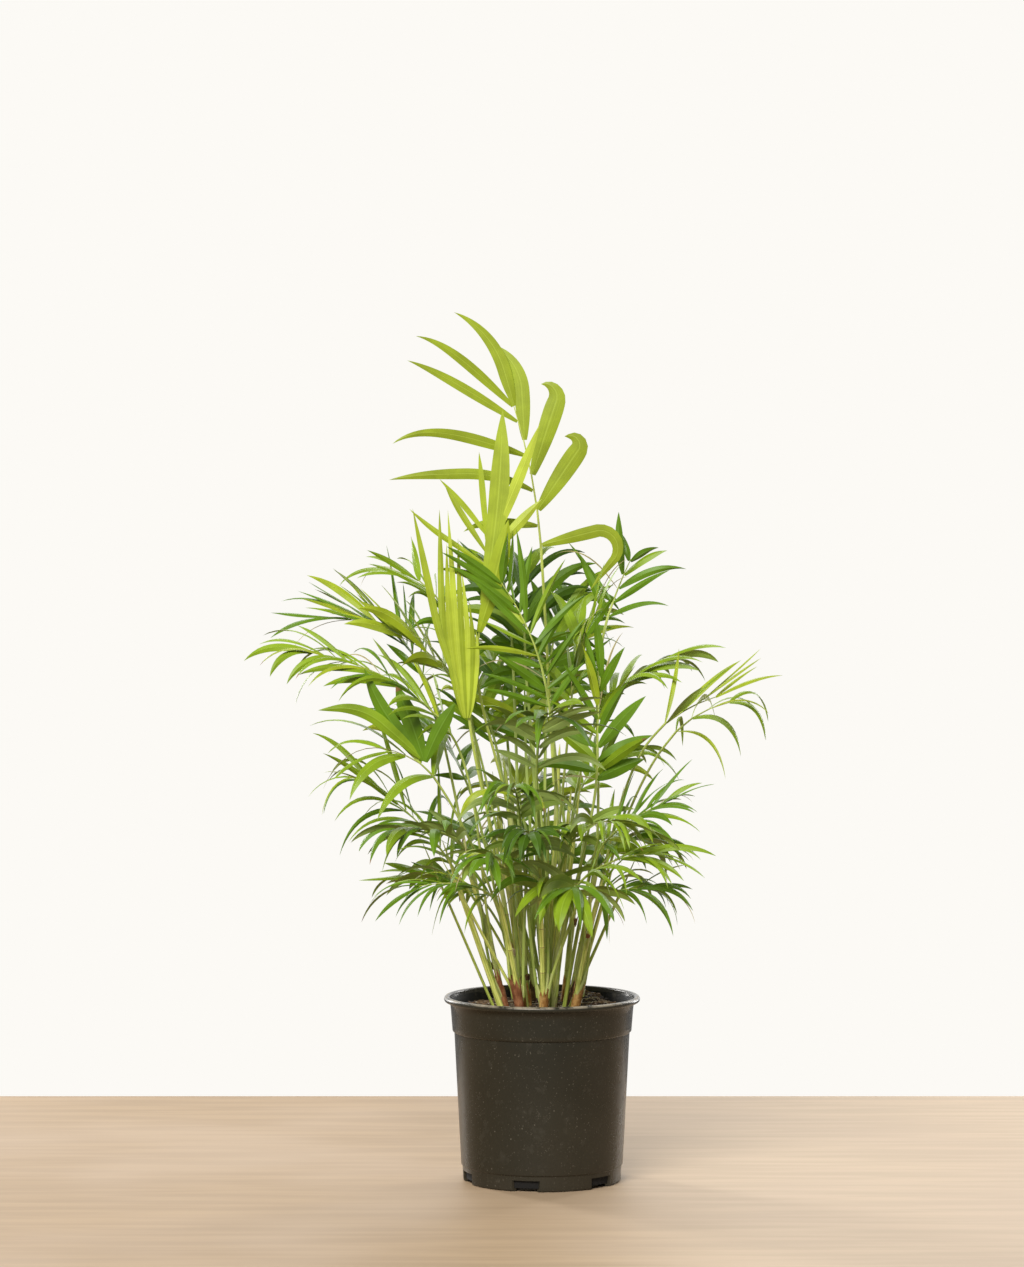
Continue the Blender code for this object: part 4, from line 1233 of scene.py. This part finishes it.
# Ribs and petioles. They are slim, green and a little flatter on top, and a pale sheath at the foot of each
# petiole wraps round the cane that it grows from.
RIB_SIDES = 8
RIB_FINER = 3               # rings for each of the frame's
RIB_END = 0.45              # share of its width that the rib keeps at its tip
RIB_FLAT = 0.62             # share of its height that its upper side has
SHEATH_SIDES = 12
SHEATH_ROWS = (             # mm along, how far from the cane's middle to the petiole, radius as a share
    (-30, 0.0, 1.10), (-18, 0.0, 1.16), (-8, 0.16, 1.18), (-1, 0.5, 1.06), (6, 0.86, 0.80), (13, 1.0, 0.62),
    (22, 1.0, 0.54),
)


def smoothed(rings, finer):
    """(centre, side, normal, radius) along a smooth curve through the rings' centres."""
    fine = []
    last = len(rings) - 1
    for k in range(last):
        before, here, after, beyond = (rings[min(last, max(0, k + j))][0] for j in (-1, 0, 1, 2))
        for step in range(finer):
            u = step / finer
            centre = hermite(here, (after - before) / 2, after, (beyond - here) / 2, u)
            side = rings[k][2].lerp(rings[k + 1][2], u).normalized()
            normal = rings[k][3].lerp(rings[k + 1][3], u).normalized()
            fine.append((centre, side, normal, rings[k][4] + (rings[k + 1][4] - rings[k][4]) * u))
    fine.append((rings[last][0], rings[last][2], rings[last][3], rings[last][4]))
    return fine


GREENS = ("new", "grown", "old")
rib_bunches = {green: Bunch() for green in GREENS}
sheaths = Bunch()
for frond, rings, _, (_, stem_path, _), stem_middle in ribs:
    fine = smoothed(rings, RIB_FINER)
    first_thin = PETIOLE_STEPS * RIB_FINER
    points = []
    rows = []
    run = 0.0
    for k, (centre, side, normal, radius) in enumerate(fine):
        if k:
            run += (centre - fine[k - 1][0]).length
        rows.append(run)
        if k > first_thin:
            radius *= 1 + (RIB_END - 1) * (k - first_thin) / (len(fine) - 1 - first_thin)
        for j in range(RIB_SIDES):
            turn = math.tau * (j + 0.5) / RIB_SIDES
            flat = RIB_FLAT if math.sin(turn) > 0 else 1.0
            points.append(centre + radius * (math.cos(turn) * side + flat * math.sin(turn) * normal))
    faces = ring_faces(len(fine), RIB_SIDES)
    rib_bunches[frond.green].grow(points, faces, 0, round_uvs(faces, RIB_SIDES, rows))

    foot = rings[0][0]
    up = (rings[1][0] - foot).normalized()
    points = []
    rows = []
    for place, out, wide in SHEATH_ROWS:
        on_cane, heading = along_stem(stem_path, stem_middle.z + place * MM)
        on_petiole = foot + up * max(place, -4) * MM
        centre = on_cane.lerp(on_petiole, out)
        share = min(1, max(0, (on_cane.z - SOIL_HEIGHT) / (stem_path[-1].z - SOIL_HEIGHT)))
        radius = (STEM_FOOT + (STEM_TIP - STEM_FOOT) * share) * wide * CANE_THIN
        rows.append(place * MM)
        across = heading.cross(NOT_ALONG).normalized()
        behind = heading.cross(across)
        for j in range(SHEATH_SIDES):
            turn = math.tau * j / SHEATH_SIDES
            points.append(centre + radius * (math.cos(turn) * across + math.sin(turn) * behind))
    points = [Vector((p.x, p.y, max(p.z, SOIL_HEIGHT - 1 * MM))) for p in points]
    faces = ring_faces(len(SHEATH_ROWS), SHEATH_SIDES)
    sheaths.grow(points, faces, 0, round_uvs(faces, SHEATH_SIDES, rows))

PETIOLE = {
    "new": cane_green("rib_new", (0.380, 0.450, 0.060), (0.560, 0.600, 0.150), 0.4),
    "grown": cane_green("rib_grown", (0.290, 0.370, 0.050), (0.500, 0.550, 0.140), 0.4),
    "old": cane_green("rib_old", (0.210, 0.290, 0.040), (0.420, 0.480, 0.120), 0.42),
}
for green, bunch in rib_bunches.items():
    piece = bunch.piece("ribs_" + green, [PETIOLE[green]], "frond_" + green, 50)
    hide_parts(*["frond_" + f.name for f in fronds if f.green == green])
SHEATH = [cane_green("sheath_pale", (0.330, 0.380, 0.080), (0.560, 0.560, 0.220), 0.5)]
sheath_piece = sheaths.piece("leaf_sheaths", SHEATH, "cane", 50)
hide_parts(*[name for name, _, _ in stems])

# The leaflets' form and finishes. They are thin, long and pointed, folded into a low ridge along the midrib,
# and glossy above and paler and duller below.
LEAF_THICK = 0.32 * MM
FINE_WIDTH = 0.82           # of the frame's leaflets that share a frond with finer ones
FINE_STEPS = 12
TALL_STEPS = 24
LEAF_RIDGE = {"new": 0.06, "grown": 0.16, "old": 0.17}          # how high the midrib stands, over the width
SICKLE = 13
LEAF_BASE = 0.3             # width at the rib, as a share
WAVES = 9                   # radians of a leaflet's slight wave over its length


def outline(u, widest):
    """Half width of a leaflet as a share of its widest, from the rib at 0 to the drawn-out tip at 1."""
    if u < widest:
        return LEAF_BASE + (1 - LEAF_BASE) * math.sin(math.pi / 2 * u / widest) ** 0.85
    return 1 - ((u - widest) / (1 - widest)) ** 2.1


def leaf_mesh(shape, steps, wide, high, widest=0.38, sickle=0.0, curl=0.0, wave=0.0, phase=0.0):
    """Points, faces and UVs of one thin leaflet. Its faces run up the top in pairs and up the back."""
    line = blade_line(shape, steps, sickle, curl)
    hand, width = shape[4], shape[7] * wide
    points = []
    for k, (centre, heading, face) in enumerate(line[:-1]):
        u = k / steps
        half = width / 2 * outline(u, widest)
        across = heading.cross(face) * hand
        ridge = high * width * outline(u, widest)
        lap = wave * width * math.sin(phase + WAVES * u)
        points += [
            centre + across * half + face * lap,
            centre + face * (ridge + LEAF_THICK / 2),
            centre - across * half - face * lap,
            centre + face * (ridge - LEAF_THICK / 2),
        ]
    points.append(line[-1][0])
    return points, *strip_faces(steps)


def strip_faces(steps):
    """Faces and UVs of a thin strip that has four points at each step, and one at its tip."""
    faces = [(0, 1, 2, 3)]
    uvs = [[(0.5, 0)] * 4]
    sides = ((0, 1, 0.0, 0.5), (1, 2, 0.5, 1.0), (2, 3, 1.0, 0.5), (3, 0, 0.5, 0.0))
    for k in range(steps):
        low, high = k / steps, (k + 1) / steps
        for a, b, left, right in sides:
            if k < steps - 1:
                faces.append((4 * k + a, 4 * k + b, 4 * k + 4 + b, 4 * k + 4 + a))
                uvs.append([(left, low), (right, low), (right, high), (left, high)])
            else:
                faces.append((4 * k + a, 4 * k + b, 4 * steps))
                uvs.append([(left, low), (right, low), ((left + right) / 2, high)])
    return faces, uvs


def turned_backs(faces, uvs):
    """The same faces, where the back's begin a corner later, so they split into triangles as the top's do.

    Split the other way, the back of a twisted leaflet would come through its top.
    """
    is_back = [k > 0 and (k - 1) % 4 > 1 for k in range(len(faces))]
    faces = [(*face[1:], face[0]) if back else face for face, back in zip(faces, is_back)]
    uvs = [(*pairs[1:], pairs[0]) if back else pairs for pairs, back in zip(uvs, is_back)]
    return faces, uvs


def leaf_green(name, colour, roughness, back=False):
    """A leaf's skin: one plain green, with faint veins along it and a paler midrib."""
    finish = Finish(name, Specular_IOR_Level=0.3)
    across = finish.place.node("UVMap", {"uv_map": "along"})
    u = across.part("X")
    veins = across.stretched((30, 0.5, 1)).grain(1.0, detail=3.0)
    midrib = (u - 0.5).math("ABSOLUTE", u - 0.5).between(0.05, 0.02)
    cloud = finish.place.grain(45.0, detail=3.0)
    plain = cloud.between(0.3, 0.7).mix(tuple(0.86 * c for c in colour), tuple(1.12 * c for c in colour))
    veined = (veins.between(0.42, 0.66) * 0.4).mix(plain, tuple(0.66 * c for c in colour))
    pale = tuple(min(1, 1.25 * c + 0.03) for c in colour)
    finish.set("Base Color", (midrib * 0.5).mix(veined, pale))
    finish.set("Roughness", roughness + cloud * 0.14)
    finish.relief(veins * 0.7 + midrib * (-0.6 if back else 0.6), 0.10 * MM)
    return finish


LEAVES = [
    leaf_green("leaf_lime", (0.410, 0.480, 0.036), 0.36),
    leaf_green("leaf_bright", (0.310, 0.380, 0.022), 0.36),
    leaf_green("leaf_fresh", (0.325, 0.400, 0.018), 0.36),
    leaf_green("leaf_green", (0.220, 0.330, 0.012), 0.36),
    leaf_green("leaf_deep", (0.118, 0.225, 0.008), 0.36),
    leaf_green("leaf_dark", (0.062, 0.130, 0.006), 0.38),
    leaf_green("leaf_tall", (0.280, 0.346, 0.018), 0.38),
    leaf_green("leaf_brown", (0.250, 0.140, 0.045), 0.6),
    leaf_green("leaf_straw", (0.420, 0.360, 0.160), 0.6),
    leaf_green("back_lime", (0.360, 0.430, 0.045), 0.5, back=True),
    leaf_green("back_green", (0.260, 0.360, 0.050), 0.5, back=True),
    leaf_green("back_grey", (0.270, 0.350, 0.080), 0.5, back=True),
]
LIME, BRIGHT, FRESH, GREEN, DEEP, DARK, TALL, BROWN, STRAW = range(9)
BACK_LIME, BACK_GREEN, BACK_GREY = range(9, 12)

# Young stalks. Between the canes stand slim ones that have only just come up, each a closed green spear, and
# five long ones lean out of the clump to both sides.
STALKS = 11
STALK_TRIES = 500
STALK_REACH = 36 * MM       # how far from the middle they stand
STALK_HIGH = (110, 215)     # in mm
STALK_WIDE = (1.1, 1.9)     # radius in mm
STALK_ROWS = 12
STALK_SIDES = 8
STALK_FOOT = SOIL_HEIGHT - 1.5 * MM
STALK_RISE = 86             # degrees from level, in the middle of the clump
STALK_LEAN = 13             # how much less that is at its edge
STALK_STRAY = 25            # degrees to each side
STALK_BOW = (-0.02, 0.06)   # over its height
DEEP_STALKS = (2, 4, 6, 8, 11, 13, 15)          # those that are darker
LEANING = (                 # mm to the right at foot and tip, height of the tip, radius at the foot
    (-34, -86, 296, 2.3), (-14, -90, 288, 1.2), (22, 83, 285, 1.3), (26, 64, 280, 1.7), (-40, -106, 300, 1.1),
)
LEANING_DEEP = (-8, -14, 4, -20, 10, 16, -26, 22)       # mm to the back, where they may stand
LEANING_SPREAD = 1.2        # times that far to the back their tips are
placed = [entry for entry in placed if not entry[0].endswith("_leaf")]     # finer ones take their place
stalks = Bunch()
draw = random.Random(17)


def stalk(foot, way, bow, wide):
    """Keeps a stalk from its foot along this way, slightly bowed, where it is clear of what stands there."""
    path = []
    radii = []
    for row in range(STALK_ROWS + 1):
        u = row / STALK_ROWS
        path.append(foot + way * u + bow * u**2)
        radii.append(wide * (1.25 - 0.35 * u) * min(1, 3.2 * (1 - u) + 0.12))
    points, faces = tube(path, radii, STALK_SIDES)
    if not is_clear(points, faces):
        return False
    remember("stalk", points, faces)
    rows = [way.length * row / STALK_ROWS for row in range(STALK_ROWS + 1)]
    number = len(stalks.faces) // len(faces)
    stalks.grow(points, faces, int(number in DEEP_STALKS), round_uvs(faces, STALK_SIDES, rows))
    return True


for at_foot, at_tip, tip, wide in LEANING:
    for deep in LEANING_DEEP:
        foot = Vector((at_foot * MM, deep * MM, STALK_FOOT))
        way = Vector((at_tip, deep * LEANING_SPREAD, tip)) * MM - foot
        if stalk(foot, way, Vector(), wide * MM):
            break
standing = 0
for _ in range(STALK_TRIES):
    away = STALK_REACH * math.sqrt(draw.random())
    turn = draw.uniform(0, 360)
    foot = away * unit(turn, 0) + Vector((0, 0, STALK_FOOT))
    stray = draw.uniform(-STALK_STRAY, STALK_STRAY)
    heading = unit(turn + stray, STALK_RISE - STALK_LEAN * away / STALK_REACH)
    high = draw.uniform(*STALK_HIGH) * MM
    bow = draw.uniform(*STALK_BOW) * high * unit(turn, 0)
    wide = draw.uniform(*STALK_WIDE) * MM
    if standing < STALKS and stalk(foot, heading * high, bow, wide):
        standing += 1
stalk_piece = stalks.piece("young_stalks", [CANE[0], CANE[2]], "cane", 50)
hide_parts(*[name for name, _, _ in stems])

# How a leaflet is dressed. It follows the rule, strays from it a little in its set, size, droop and twist, by
# the habit of its frond, and is kept where it stands clear of what is there and near enough to the frame.
draw = random.Random(41)
dressed = []                # (frond, steps, mesh of the leaflet, a finish of its own or None)
FINE_TRIES = 5
SET_VARY = 19
FORWARD = 0.88              # share of the rule's set that the finer ones keep
LENGTH_VARY = (0.78, 1.28)
WIDTH_VARY = (0.68, 1.35)
DROOP_VARY = (-0.1, 1.7)
LIFT_VARY = 0.2
TWIST_VARY = 42
CURL = 75
WIDEST = (0.3, 0.48)
THREADS = 0.05              # share of the leaflets that have dried to hanging threads
THREAD_WIDTH = 0.2
THREAD_DROOP = 0.9
SPILL = 15 * MM             # the most by which a leaflet reaches past the frame's box
WAVE = 0.05                 # how far its edges wave at most, over its width
OWN_WILD = 0.1              # share of all this straying that is left to the tall frond's leaflets
FOLDED = 90                 # degrees from which an end counts as folded over
BLUNT = 0.62                # where a leaflet with such an end is widest
AT_FOOT = 9                 # faces at a leaflet's foot, where it may touch its neighbours
LIMP = 0.9                  # the most by which a frond that fills the crown droops more than the rule says
HABITS = {                  # shares of the rule's set, length and width, and droop on top of it
    "left_high": (0.55, 1.10, 0.85, 0.0),
    "left_back": (0.8, 1.1, 0.9, 0.1),
    "left_arch": (0.78, 1.0, 0.85, 0.2),
    "left_broad": (0.95, 1.05, 0.80, 0.8),
    "left_low": (0.80, 1.30, 0.75, 0.5),
    "left_lowest": (0.85, 1.35, 0.75, 0.4),
    "right_reach": (1.0, 1.15, 0.80, 0.0),
    "right_hanging": (0.90, 1.0, 0.70, 0.9),
    "right_mid": (1.0, 1.1, 0.9, 0.3),
    "right_low": (0.90, 1.20, 0.85, 0.5),
    "right_lowest": (0.90, 1.20, 0.85, 0.4),
    "front_low": (1.0, 1.15, 0.85, 0.9),
}
habit = {}
for frond in fronds:
    limp = draw.uniform(0, LIMP) if frond.green == "old" else 0
    habit[frond.name] = HABITS.get(frond.name, (FORWARD, 1, 1, limp))


def dress(frond, shape, wide):
    """The finer form of a leaflet, which strays a little where nothing is in its way, or None."""
    root, along, side, normal, hand, angle, length, width, droop, stiff, fold, lift, twist = shape
    steps = TALL_STEPS if frond.green == "new" else FINE_STEPS
    thread = frond.green != "new" and draw.random() < THREADS
    ahead, longer, wider, limp = habit[frond.name]
    for attempt in range(FINE_TRIES):
        wild = 1 - attempt / (FINE_TRIES - 1)
        if frond.leaves:
            wild *= OWN_WILD
        shape = (
            root, along, side, normal, hand,
            angle * (1 if frond.leaves else ahead) + draw.uniform(-SET_VARY, SET_VARY) * wild,
            length * (1 + (draw.uniform(*LENGTH_VARY) - 1) * wild) * longer,
            width * (THREAD_WIDTH if thread else 1 if frond.leaves else draw.uniform(*WIDTH_VARY) * wider),
            droop * (1 + (draw.uniform(*DROOP_VARY) - 1) * wild) + limp + (THREAD_DROOP if thread else 0),
            stiff, fold,
            lift + draw.uniform(-LIFT_VARY, LIFT_VARY) * wild,
            twist + draw.uniform(-TWIST_VARY, TWIST_VARY) * wild,
        )
        widest = BLUNT if fold[0] > FOLDED else draw.uniform(*WIDEST)
        mesh = leaf_mesh(shape, steps, wide, LEAF_RIDGE[frond.green], widest,
                         sickle=draw.uniform(-SICKLE, SICKLE) * wild,
                         curl=draw.uniform(-CURL, CURL) * wild,
                         wave=draw.uniform(0, WAVE),
                         phase=draw.uniform(0, 6))
        near = all(a - SPILL < c < b + SPILL for p in mesh[0] for a, c, b in zip(cad_low, p, cad_high))
        if frond.leaves or near and is_clear(mesh[0], mesh[1][AT_FOOT:], but=frond.name + "_rib"):
            return steps, mesh, STRAW if thread else None
    return None


def keep(frond, leaf):
    """Keeps a leaflet, and has the later ones stand clear of it."""
    remember(frond.name + "_leaf", leaf[1][0], leaf[1][1])
    dressed.append((frond, *leaf))


# Leaflets that are set one by one. The young frond on the left is a fan that is still half closed, with its
# leaflets joined edge to edge as the pleats of one blade. The other young one has opened further, and its
# leaflets stand up singly. Four broad ones stand on a grown frond on the left.
FAN_FOOT = Vector((-64.8, -42.6, 401)) * MM
FAN_STEPS = 20
FAN_LEAN = -0.055           # how far the whole fan leans, over its length
FAN_BOW = 0.25              # how fast it bows to the back
PLEAT_WIDE = 4.7 * MM       # at this distance up the fan, and how much wider it grows by the top
PLEAT_FULL = 70 * MM
PLEAT_MORE = 0.2
PLEAT_DEEP = 0.42           # how far its edges lie to the front and to the back, over half its width
RUNS_OUT = 0.6              # share of its length at which it begins to narrow
# The pleats are one blade; those that take the darker bright green among the lime ones carry painted shade of
# the folds.
PLEATS = (                  # length in mm, side to which it narrows, finish
    (128, 1, BRIGHT), (152, 1, LIME), (180, 0, LIME), (156, 0.4, BRIGHT), (128, -1, LIME), (102, -1, BRIGHT),
    (78, -1, LIME),
)
OWN_LEAVES = (              # frond, root in mm, leaflet, how far it stands to the front, finish
    ("spear_left", (-66, -41.2, 417), Leaf(-25, 168, 5.5, 0.03, -26, 0.05, 0.5), 0.03, BRIGHT),
    ("spear_left", (-66, -41.2, 417), Leaf(-22, 172, 6.5, 0.03, -11, 0.2, 0.5), 0.03, BRIGHT),
    ("spear_right", (-51, -23.5, 500), Leaf(12, 168, 17, 0.02, 10, 0.0, 0.8), 0.03, BRIGHT),
    ("spear_right", (-54, -23.5, 476), Leaf(17, 100, 16, 0.02, 5, 0.2, 0.8), 0.10, FRESH),
    ("spear_right", (-46, -23.5, 547), Leaf(24, 117, 10, 0.02, 3, 0.0, 0.8), 0.07, LIME),
    ("spear_right", (-46, -22, 540), Leaf(41, 68, 9, 0.1), -0.02, LIME),
    ("spear_right", (-47, -22, 548), Leaf(-5, 83, 5.5, 0.02), -0.03, FRESH),
    ("spear_right", (-46, -22, 557), Leaf(-37, 66, 5, 0.05, 6, 0.2, 1), -0.04, FRESH),
    ("spear_right", (-47, -22, 543), Leaf(-33, 70, 5.5, 0.05, -6, 0.4, 1), 0.0, BRIGHT),
    ("spear_right", (-48, -22, 533), Leaf(-56, 82, 5, 0.05, -12, 0.5, 1), 0.02, FRESH),
    ("left_broad", (-103, -51, 369), Leaf(-47, 104, 11, 0.15, 40, 0.45, 0.85), 0.16, GREEN),
    ("left_broad", (-102, -51, 368), Leaf(-40, 94, 13, 0.05, -22, 0.3, 0.9), 0.08, DEEP),
    ("left_broad", (-101, -51, 367), Leaf(-16, 70, 15, 0.03, 6, 0.0, 0.8), 0.12, DEEP),
    ("left_broad", (-100, -51, 366), Leaf(20, 58, 13, 0.05, -10, 0.0, 0.8), 0.16, DEEP),
)
OWN_TWIST = 12
OWN_WIDEST = (0.45, 0.6)
OWN_RIDGE = 0.08
frond_named = {frond.name: frond for frond in fronds}


def fan_place(away, across, deep):
    """A point of the fan, this far up it and this many pleats to the right of its middle line."""
    pleat = PLEAT_WIDE * (min(1, away / PLEAT_FULL) ** 0.5 + PLEAT_MORE * max(0, away / PLEAT_FULL - 1))
    return FAN_FOOT + Vector((FAN_LEAN * away + across * pleat, deep * pleat / 2 + FAN_BOW * away**2, away))


for j, (length, narrows, finish) in enumerate(PLEATS):
    points = []
    middle = j - (len(PLEATS) - 1) / 2
    deep = PLEAT_DEEP * (1 if j % 2 else -1)
    for k in range(FAN_STEPS):
        u = k / FAN_STEPS
        late = max(0.0, (u - RUNS_OUT) / (1 - RUNS_OUT)) ** 1.5
        for side, thick in ((-1, 0), (0, -0.5), (1, 0), (0, 0.5)):
            side += (narrows - side) * late
            place = fan_place((2 + (length - 2) * u) * MM, middle + side / 2, side * deep)
            points.append(place + Vector((0, thick * LEAF_THICK, 0)))
    points.append(fan_place(length * MM, middle + narrows / 2, narrows * deep))
    keep(frond_named["spear_left"], (FAN_STEPS, (points, *strip_faces(FAN_STEPS)), finish))
for name, root, leaf, ahead, finish in OWN_LEAVES:
    shape = (Vector(root) * MM, Vector((0, 0, 1)), Vector((1, 0, 0)), Vector((0, -1, 0)), 1, leaf.angle,
             leaf.length * MM, leaf.width * MM, leaf.droop, 1, leaf[4:], ahead,
             draw.uniform(-OWN_TWIST, OWN_TWIST))
    mesh = leaf_mesh(shape, TALL_STEPS, 1, OWN_RIDGE, draw.uniform(*OWN_WIDEST))
    keep(frond_named[name], (TALL_STEPS, mesh, finish))

# The leaflets of all other fronds. Those of the frame come first, and finer ones stand between them and just
# below the knee wherever they find room among what is there.
WHOLE = {"top": 0.95}       # width of leaflets that have no finer ones between them
ALTERNATE = 0.55            # share of the way to the next pair that the tall frond's left leaflets stand up
BETWEEN_TRIES = 5
BETWEEN_WIDTH = 0.95        # share of the others' width
BETWEEN_ROOT = 0.8          # how far from the rib's middle they begin, over its radius
BELOW_KNEE = ((-0.1, 0.66), (-0.25, 0.3))       # share of the rib, and of the petiole's last stretch
SPARSE = (                  # fronds that have none
    "top", "spear_left", "spear_right", "left_broad", "right_high", "right_reach", "right_hanging",
)
for frond, share, hand, shape in grown:
    if frond.name.startswith("spear"):
        continue
    if frond.leaves and hand < 0 and share < 1:
        rings = next(rings for other, rings, *_ in ribs if other is frond)
        marks = [ring[0] for ring in rings if ring[5] is not None]
        pair = round(share * (frond.pairs - 1))
        shape = (shape[0] + (marks[pair + 1] - marks[pair]) * ALTERNATE, *shape[1:])
    leaf = dress(frond, shape, WHOLE.get(frond.name, FINE_WIDTH))
    if leaf:
        keep(frond, leaf)
for frond, rings, _, _, _ in ribs:
    if frond.name in SPARSE:
        continue
    marks = [k for k, ring in enumerate(rings) if ring[5] is not None]
    spots = []
    for low, high in zip(marks, marks[1:]):
        share = (rings[low][5] + 0.5) / (frond.pairs - 1)
        spots.append((share, rings[low + 1], rings[low + 1][0].lerp(rings[high][0], 0.5)))
    under, knee = rings[PETIOLE_STEPS - 1], rings[PETIOLE_STEPS]
    spots += [(share, knee, under[0].lerp(knee[0], place)) for share, place in BELOW_KNEE]
    for share, here, centre in spots:
        for hand in (1, -1):
            sizes = leaflet_sizes(draw, frond, share, hand)
            root = centre + hand * here[2] * here[4] * BETWEEN_ROOT
            for attempt in range(BETWEEN_TRIES):
                shape = leaflet_shape(draw, frond, share, here, root, hand, attempt, sizes)
                leaf = dress(frond, shape, FINE_WIDTH * BETWEEN_WIDTH)
                if leaf:
                    keep(frond, leaf)
                    break

# The pieces of leaflets. Most leaflets of a frond have one green, the others any that its kind has, and a few
# end in a dry brown tip. Those of each kind of frond are joined.
DRY_TIPS = 0.14             # share of leaflets whose end has turned brown
DRY_FROM = (0.86, 0.97)     # share of the length from which it is brown
SAME_GREEN = 0.6            # share of a frond's leaflets that have its own green
YELLOWED = 0.3              # share of the right hanging frond's leaflets that have turned yellow
TOPS = {                    # finishes for each kind of frond, with how often they come
    "new": ((BRIGHT, FRESH), (3, 2)),
    "grown": ((FRESH, GREEN, DEEP), (3, 5, 2)),
    "old": ((FRESH, GREEN, DEEP, DARK), (1, 4, 4, 2)),
}
TINTS = {"top": TALL}       # fronds that have one green throughout
LOW_TOPS = ((FRESH, GREEN, DEEP), (1, 6, 4))    # on the low fronds that show
LOW = 310                   # mm, below which a frond's knee is low
BACKS = {
    BRIGHT: BACK_LIME, LIME: BACK_LIME, FRESH: BACK_GREEN, GREEN: BACK_GREEN, TALL: BACK_GREEN,
    DEEP: BACK_GREY, DARK: BACK_GREY, BROWN: BROWN, STRAW: STRAW,
}
leaf_bunches = {green: Bunch() for green in GREENS}
hue = {                     # what most leaflets of a frond have
    "comb": DEEP, "left_high": DEEP, "left_arch": GREEN, "left_broad": GREEN, "left_low": GREEN,
    "left_lowest": DEEP, "right_inner": GREEN, "right_middle": DEEP, "right_mid": DEEP, "right_low": GREEN,
    "front_low": DEEP,
}
for frond, steps, (points, faces, uvs), own in dressed:
    is_low = frond.green == "grown" and frond.knee[2] < LOW
    slots, weights = LOW_TOPS if is_low else TOPS[frond.green]
    if frond.name not in hue:
        hue[frond.name] = draw.choices(slots, weights)[0]
    top = hue[frond.name] if draw.random() < SAME_GREEN else draw.choices(slots, weights)[0]
    top = TINTS.get(frond.name, top)
    if frond.name == "right_hanging" and draw.random() < YELLOWED:
        top = draw.choice((LIME, BRIGHT))
    top = top if own is None else own
    back = BACKS[top]
    dry_from = draw.uniform(*DRY_FROM) if frond.green != "new" and draw.random() < DRY_TIPS else 2
    kinds = [top]
    for k in range(steps):
        kinds += [BROWN] * 4 if k / steps >= dry_from else [top, top, back, back]
    faces, uvs = turned_backs(faces, uvs)
    leaf_bunches[frond.green].grow(points, faces, kinds, uvs)
for green, bunch in leaf_bunches.items():
    piece = bunch.piece("leaflets_" + green, LEAVES, "frond_" + green, 18)
    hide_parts(*["frond_" + f.name for f in fronds if f.green == green])
